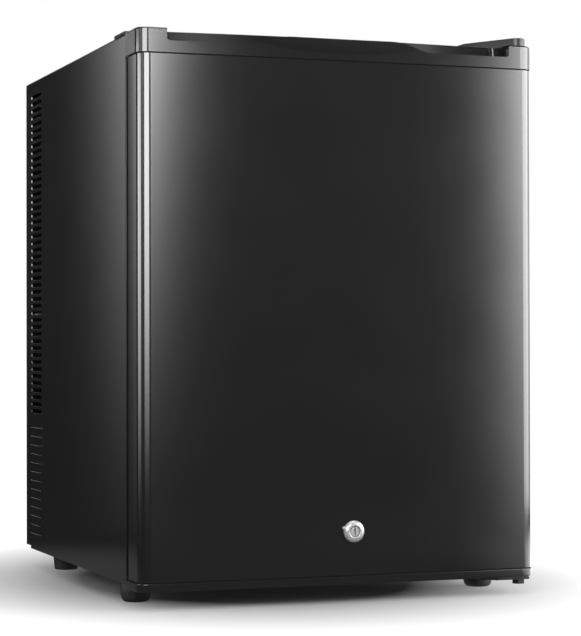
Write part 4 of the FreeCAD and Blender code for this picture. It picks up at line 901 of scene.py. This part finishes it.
@dataclass(frozen=True)
class RubberFoot:
    """A round rubber foot with shallow grips round its waist, and a groove under its collar.

    Args:
        radius: round its waist.
        base_radius: where it stands.
        height: to the top of the rubber.
        stem_radius: of the screw that carries it, or nothing.
        grips: how many it has, or none.
        base_angles: where its rounded lower edge has points, in degrees.
        waist_rise: from that edge to the waist of a gripped foot.
        taper_end: from the waist of a plain foot to its shoulder.
        collar: from the shoulder to the top.
        groove_levels: where the groove starts, ends and has run out, over the shoulder.
    """

    radius: float
    base_radius: float
    height: float
    stem_radius: float = 0.0
    grips: int = 18
    grip_depth: float = 0.5
    grip_faces: int = 4
    grip_slack: float = 0.2
    base_round: float = 3.0
    base_angles: tuple[float, ...] = (0.0, 20.0, 40.0, 60.0, 80.0, 90.0)
    waist_rise: float = 3.4
    taper_end: float = 2.0
    collar: float = 3.0
    groove: float = 0.5
    groove_levels: tuple[float, float, float] = (0.5, 1.1, 1.6)
    level_slack: float = 0.1
    top_ease: float = 0.4

    def shape(self, centre: Vector, top_mm: float) -> Mesh:
        """Turns the foot.

        Args:
            centre: the middle of its underside.
            top_mm: the level of its stem's end.

        Returns:
            A new bmesh.
        """
        shoulder = self.height - self.collar
        start, end, out = (shoulder + level for level in self.groove_levels)
        waist = self.base_round + self.waist_rise if self.grips else shoulder - self.taper_end
        foot = self.base_radius - self.base_round
        turns = [math.radians(angle) for angle in self.base_angles]
        profile = [(0.0, 0.0)]
        profile += [
            (foot + self.base_round * math.sin(turn), self.base_round * (1.0 - math.cos(turn)))
            for turn in turns]
        profile += [
            (self.radius, waist), (self.radius, shoulder), (self.radius - self.groove, start),
            (self.radius - self.groove, end), (self.radius, out),
            (self.radius, self.height - self.top_ease),
            (self.radius - self.top_ease, self.height)]
        if self.stem_radius:
            profile += [(self.stem_radius, self.height), (self.stem_radius, top_mm)]
        profile.append((0.0, top_mm if self.stem_radius else self.height))
        steps = max(self.grips * self.grip_faces, TURNED_STEPS)
        bm = turned(profile, centre, Axis.Z, steps)
        if self.grips:
            self.press_grips(bm, centre, shoulder)
        return bm

    def press_grips(self, bm: Mesh, centre: Vector, shoulder: float) -> None:
        """Presses the grips into the waist."""
        inside = (self.radius - self.grip_slack) * MM
        top = (shoulder + self.level_slack) * MM
        for vert in bm.verts:
            across = Vector((vert.co.x - centre.x, vert.co.y - centre.y))
            if across.length > inside and vert.co.z < top:
                wave = max(0.0, math.cos(math.atan2(across.y, across.x) * self.grips))
                scale = 1.0 - self.grip_depth * MM * wave / across.length
                vert.co.x = centre.x + across.x * scale
                vert.co.y = centre.y + across.y * scale


@dataclass
class Feet:
    """Two levelling feet in front, which turn on their screws, and two fixed ones behind."""

    front: RubberFoot = RubberFoot(14.99, 14.0, 20.2, stem_radius=4.0, base_round=5.0)
    rear: RubberFoot = RubberFoot(14.0, 12.6, 20.5, grips=0, base_round=1.4)
    smooth_deg: float = 50.0

    def build(self, shop: Workshop) -> None:
        """Makes all four."""
        for node in ("front_foot_left", "front_foot_right"):
            low, high = box_of(node)
            centre = Vector(((low.x + high.x) / 2, (low.y + high.y) / 2, 0.0))
            shop.piece(
                self.front.shape(centre, high.z / MM), node + "_gripped", node, (node,),
                self.smooth_deg, weighted=False)
        low, high = box_of("rear_feet")
        middle = (low.y + high.y) / 2
        reach = self.rear.radius * MM
        places = (Vector((low.x + reach, middle, 0.0)), Vector((high.x - reach, middle, 0.0)))
        pair = put_together([self.rear.shape(place, self.rear.height) for place in places])
        shop.piece(
            pair, "rear_feet_tapered", "rear_feet", ("rear_feet",), self.smooth_deg,
            weighted=False)


# Floor, light and camera


@dataclass(frozen=True)
class StudioLamp:
    """A soft box: a rectangular lamp that looks at a point and fades to one end or one side.

    Args:
        name: what it is for.
        place_mm: its middle.
        target_mm: what it faces.
        width_mm: across.
        height_mm: upright.
        power: in watts.
        fade_across: how fast it fades from its right to its left, as that lamp sees it, or the
            other way if negative.
        fade_down: how fast it fades towards its lower end.
        dark_below_mm: the level where it starts to glow, if it doesn't fade by a power.
        full_above_mm: the level from which it glows fully.
    """

    name: str
    place_mm: tuple[float, float, float]
    target_mm: tuple[float, float, float]
    width_mm: float
    height_mm: float
    power: float
    fade_across: float = 0.0
    fade_down: float = 0.0
    dark_below_mm: float = 0.0
    full_above_mm: float = 0.0

    def build(self) -> None:
        """Hangs the lamp."""
        data = bpy.data.lights.new(self.name, "AREA")
        data.shape = "RECTANGLE"
        data.size = self.width_mm * MM
        data.size_y = self.height_mm * MM
        data.energy = self.power
        if self.fade_across or self.fade_down or self.full_above_mm:
            self.fade(data)
        lamp = placed(self.name, data)
        place = Vector(self.place_mm) * MM
        aim = Vector(self.target_mm) * MM - place
        lamp.rotation_euler = aim.to_track_quat("-Z", "Y").to_euler()
        lamp.location = place
        lamp.visible_camera = False

    def fade(self, data: bpy.types.Light) -> None:
        """Lets the lamp's brightness follow the place on it, by powers or by a soft step."""
        tree = blank_tree(data)
        place = add_node(tree, "ShaderNodeNewGeometry").outputs["Parametric"]
        spot = add_node(tree, "ShaderNodeSeparateXYZ", inputs={"Vector": place})
        across = spot.outputs["X"]
        if self.fade_across < 0.0:
            across = math_of(tree, "SUBTRACT", 1.0, across)
        sides = math_of(tree, "POWER", across, abs(self.fade_across))
        if self.full_above_mm:
            foot = self.place_mm[2] - self.height_mm / 2
            ends = ramp(
                tree, spot.outputs["Y"], (self.dark_below_mm - foot) / self.height_mm,
                (self.full_above_mm - foot) / self.height_mm, smooth=True)
        else:
            ends = math_of(tree, "POWER", spot.outputs["Y"], self.fade_down)
        both = math_of(tree, "MULTIPLY", sides, ends)
        glow = add_node(tree, "ShaderNodeEmission", inputs={"Strength": both})
        add_node(tree, "ShaderNodeOutputLight", inputs={"Surface": glow.outputs["Emission"]})


def seen_ray(tree: Tree) -> Socket:
    """1 for what the camera sees, straight or through something clear, and 0 for the rest."""
    path = add_node(tree, "ShaderNodeLightPath").outputs
    return math_of(tree, "MAXIMUM", path["Is Camera Ray"], path["Is Transmission Ray"])


def mirror_ray(tree: Tree) -> Socket:
    """1 for what is seen in a mirror, and 0 for the rest."""
    return add_node(tree, "ShaderNodeLightPath").outputs["Is Glossy Ray"]


@dataclass(frozen=True)
class Studio:
    """The floor and the backdrop of a plain product picture, in metres from the middle.

    The camera sees the floor's glow grow from painted_shadow_fade_start to
    painted_shadow_fade_end, round an oval that is narrowed and shifted to the left: the dark inside
    it is a painted shadow round the case. The paint mirrors the floor, as a painted reflection, at
    near_painted_reflection up to mirror_start, and at mirror_level from mirror_end on, as it does
    the backdrop. Front-right of the case that grows to right_painted_reflection between right_start
    and right_end, where a step to the back counts as right_lean to the right: a glowing patch that
    paints a reflection there. It fades from right_fade to right_gone away from the middle, and
    from behind_fade to behind_gone towards the back.
    """

    floor_reach: float = 30.0
    floor_albedo: float = 0.2
    painted_shadow_fade_start: float = 0.205
    painted_shadow_fade_end: float = 0.54
    painted_shadow_narrowed: float = 1.25
    painted_shadow_shift: float = 0.03
    ambient: float = 0.3
    mirror_level: float = 0.02
    near_painted_reflection: float = 0.1
    mirror_start: float = 0.35
    mirror_end: float = 0.6
    right_painted_reflection: float = 3.0
    right_start: float = 0.03
    right_end: float = 0.36
    right_lean: float = 0.4
    right_fade: float = 0.8
    right_gone: float = 0.95
    behind_fade: float = -0.05
    behind_gone: float = 0.15

    def floor(self) -> None:
        """Makes the pale floor, which is white where the camera sees it beyond its painted shadow.
        """
        bm = bmesh.new()
        bmesh.ops.create_grid(bm, x_segments=1, y_segments=1, size=self.floor_reach)
        mesh = bpy.data.meshes.new("studio_floor")
        bm.to_mesh(mesh)
        bm.free()
        mesh.materials.append(self.floor_material())
        placed("studio_floor", mesh)

    def floor_material(self) -> bpy.types.Material:
        """Makes matt white paper, lit by the lamps.

        Returns:
            A material that also glows: where the camera sees it, more and more away from the
            fridge, which paints a soft shadow round the case, and in the paint's mirror image,
            close to the case and front-right of it, which paints reflections there.
        """
        material = bpy.data.materials.new("paper_white_painted_shadow_and_reflection")
        tree = blank_tree(material)
        place = add_node(tree, "ShaderNodeTexCoord").outputs["Object"]
        mirror = mirror_ray(tree)
        shown = math_of(tree, "MULTIPLY", self.glow_with_painted_shadow(tree, place), seen_ray(tree))
        strength = math_of(
            tree, "MULTIPLY_ADD", mirror, self.painted_reflection_glow(tree, place), shown)
        glow = add_node(
            tree, "ShaderNodeEmission", inputs={"Color": WHITE, "Strength": strength})
        lit = ramp(
            tree, mirror, 0.0, 1.0, self.floor_albedo, self.floor_albedo * self.mirror_level)
        paper = add_node(tree, "ShaderNodeBsdfDiffuse", inputs={"Color": lit})
        both = add_node(tree, "ShaderNodeAddShader", inputs={
            0: glow.outputs["Emission"], 1: paper.outputs["BSDF"]})
        add_node(tree, "ShaderNodeOutputMaterial", inputs={"Surface": both.outputs["Shader"]})
        return material

    def glow_with_painted_shadow(self, tree: Tree, place: Socket) -> Socket:
        """The glow for the camera, which paints a shadow: dark under the case and white beyond it.
        """
        painted_shadow_oval = add_node(tree, "ShaderNodeMapping", inputs={
            "Vector": place, "Location": (self.painted_shadow_shift, 0.0, 0.0),
            "Scale": (self.painted_shadow_narrowed, 1.0, 1.0)})
        return ramp(
            tree, length_of(tree, painted_shadow_oval.outputs["Vector"]), self.painted_shadow_fade_start, self.painted_shadow_fade_end)

    def painted_reflection_glow(self, tree: Tree, place: Socket) -> Socket:
        """The glow for the paint's mirror image, a painted reflection: dim, but for a patch
        front-right of the case.
        """
        reach = length_of(tree, place)
        near = ramp(
            tree, reach, self.mirror_start, self.mirror_end, self.near_painted_reflection,
            self.mirror_level, smooth=True)
        across = add_node(
            tree, "ShaderNodeVectorMath", {"operation": "DOT_PRODUCT"},
            {0: place, 1: (1.0, self.right_lean, 0.0)})
        right = ramp(
            tree, across.outputs["Value"], self.right_start, self.right_end, 0.0,
            self.right_painted_reflection, smooth=True)
        around = ramp(
            tree, reach, self.right_fade, self.right_gone, 1.0, 0.0, smooth=True)
        depth = add_node(tree, "ShaderNodeSeparateXYZ", inputs={"Vector": place})
        before = ramp(
            tree, depth.outputs["Y"], self.behind_fade, self.behind_gone, 1.0, 0.0, smooth=True)
        window = math_of(tree, "MULTIPLY", before, around)
        beside = math_of(tree, "MULTIPLY", right, window)
        return math_of(tree, "MAXIMUM", near, beside)

    def backdrop(self) -> None:
        """Makes the world: white where seen, soft grey where it lights, dim in the paint."""
        world = bpy.data.worlds.new("studio_sweep")
        bpy.context.scene.world = world
        tree = blank_tree(world)
        level = ramp(tree, mirror_ray(tree), 0.0, 1.0, self.ambient, self.mirror_level)
        strength = math_of(tree, "MAXIMUM", seen_ray(tree), level)
        sweep = add_node(
            tree, "ShaderNodeBackground", inputs={"Color": WHITE, "Strength": strength})
        add_node(
            tree, "ShaderNodeOutputWorld", inputs={"Surface": sweep.outputs["Background"]})


@dataclass(frozen=True)
class Viewpoint:
    """The camera, where the photographer's stood."""

    place_mm: tuple[float, float, float] = (-732.0, -2086.35, 241.3)
    yaw_deg: float = 20.05
    pitch_deg: float = 0.80
    roll_deg: float = -0.14
    lens_mm: float = 119.71
    clip_end_m: float = 100.0

    def build(self) -> None:
        """Sets up the camera and makes it the scene's."""
        yaw, pitch, roll = (
            math.radians(v) for v in (self.yaw_deg, self.pitch_deg, self.roll_deg))
        ahead = Vector((
            math.sin(yaw) * math.cos(pitch), math.cos(yaw) * math.cos(pitch), math.sin(pitch)))
        right = Vector((math.cos(yaw), -math.sin(yaw), 0.0))
        up = right.cross(ahead)
        turned_right = math.cos(roll) * right + math.sin(roll) * up
        turned_up = math.cos(roll) * up - math.sin(roll) * right
        data = bpy.data.cameras.new("camera")
        data.lens = self.lens_mm
        data.clip_end = self.clip_end_m
        camera = placed("camera", data)
        basis = Matrix((turned_right, turned_up, -ahead)).transposed().to_4x4()
        camera.matrix_world = Matrix.Translation(Vector(self.place_mm) * MM) @ basis
        bpy.context.scene.camera = camera


LEFT_CORNER = (-190, -226, 400)
RIGHT_CORNER = (190, -226, 400)
LAMPS = (
    StudioLamp(
        "door_left_glow", (45, -803, 350), (45, 0, 350), 210, 900, 25, fade_across=-6, fade_down=3),
    StudioLamp(
        "door_right_glow", (410, -803, 350), (410, 0, 350), 220, 900, 16, fade_across=6,
        fade_down=1),
    StudioLamp("upper_left_glow", (45, -803, 830), (45, 0, 830), 210, 300, 0.3, fade_across=-3),
    StudioLamp("upper_right_glow", (390, -803, 850), (390, 0, 850), 260, 340, 0.5, fade_across=2),
    StudioLamp("trough_window", (-260, -1515, 1379), (0, -203, 531), 220, 300, 2.2),
    StudioLamp("panel_card", (520, -1530, 500), (120, -226, 300), 1000, 1000, 0.12),
    StudioLamp("floor_card", (300, -950, 3), (300, -950, 500), 900, 900, 0.15),
    StudioLamp(
        "left_corner_front", (-667, -1105, 400), LEFT_CORNER, 820, 1000, 27, dark_below_mm=20,
        full_above_mm=560),
    StudioLamp("left_corner_gap", (-190, -1226, 400), LEFT_CORNER, 380, 1000, 1.6, fade_down=2.5),
    StudioLamp("left_corner_fill", (-1130, -568, 400), LEFT_CORNER, 450, 1000, 4, fade_down=2.5),
    StudioLamp(
        "left_corner_side", (-1141, 83, 285), (-190, -226, 285), 750, 770, 12,
        dark_below_mm=-15, full_above_mm=500),
    StudioLamp("right_corner_side", (1054, -715, 400), RIGHT_CORNER, 1155, 1000, 34, fade_down=0.3),
    StudioLamp("right_corner_rear", (1156, 33, 400), RIGHT_CORNER, 500, 1000, 5.5, fade_down=0.3),
    StudioLamp(
        "side_rear_glow", (-365, 600, 400), (-365, 0, 400), 170, 1000, 2.1, fade_across=5.3,
        fade_down=1.8),
    StudioLamp("rear_fill", (200, 1500, 600), (100, 230, 300), 1000, 800, 2.5),
    StudioLamp("overhead", (0, -200, 2200), (0, 0, 0), 1600, 1600, 30),
)

EASED_PIECES = {
    "outer_wrapper": 0.3, "rear_cover": 0.4, "front_frame": 0.4, "inner_liner": 0.4,
    "door_bottom_cap": 0.5, "hinge_cover": 0.7, "blank_hinge_cover": 0.4,
    "bottom_hinge_bracket": 0.3, "bottom_hinge_pin": 0.3, "door_gasket": 0.3, "door_liner": 0.6,
    "lower_door_bin": 0.5, "upper_door_bin": 0.5, "cold_duct_cover": 0.3, "control_housing": 0.4,
    "thermostat_knob": 0.4, "lamp_lens": 0.4, "drip_channel": 0.3, "evaporation_tray": 0.3,
    "mains_inlet": 0.3, "power_supply": 0.3, "lock_cam": 0.3, "lock_nut": 0.3,
}
# Moulded with a coarser skin than the caps of the door.
COARSE_PIECES = {"hinge_cover": "fan_plastic", "blank_hinge_cover": "fan_plastic"}
SMOOTHED_PIECES = (
    "upper_shelf", "lower_shelf", "drain_tube", "rear_cover_screws", "hinge_screws",
    "top_hinge_pin", "top_hinge_bush", "bottom_hinge_bush", "hot_fan_frame", "cold_fan_frame",
    "hot_fan_rotor", "cold_fan_rotor", "hot_heatsink", "cold_heatsink", "control_board",
)


def main() -> None:
    """Builds the looks in order and reports each piece."""
    logging.basicConfig(level=logging.INFO, format="%(message)s")
    bpy.context.scene.view_settings.view_transform = "Standard"
    Viewpoint().build()
    shop = Workshop()
    shop.carry_over()
    DoorSkin().build(shop)
    TopCap().build(shop)
    CamLock().build(shop)
    SealLip().build(shop)
    for node, width in EASED_PIECES.items():
        shop.eased(node, width, slot=COARSE_PIECES.get(node))
    for node in SMOOTHED_PIECES:
        shop.eased(node, 0.0)
    VentRims().build(shop)
    LouvreLips().build(shop)
    Feet().build(shop)
    studio = Studio()
    studio.floor()
    studio.backdrop()
    for lamp in LAMPS:
        lamp.build()


if __name__ == "__main__":
    main()
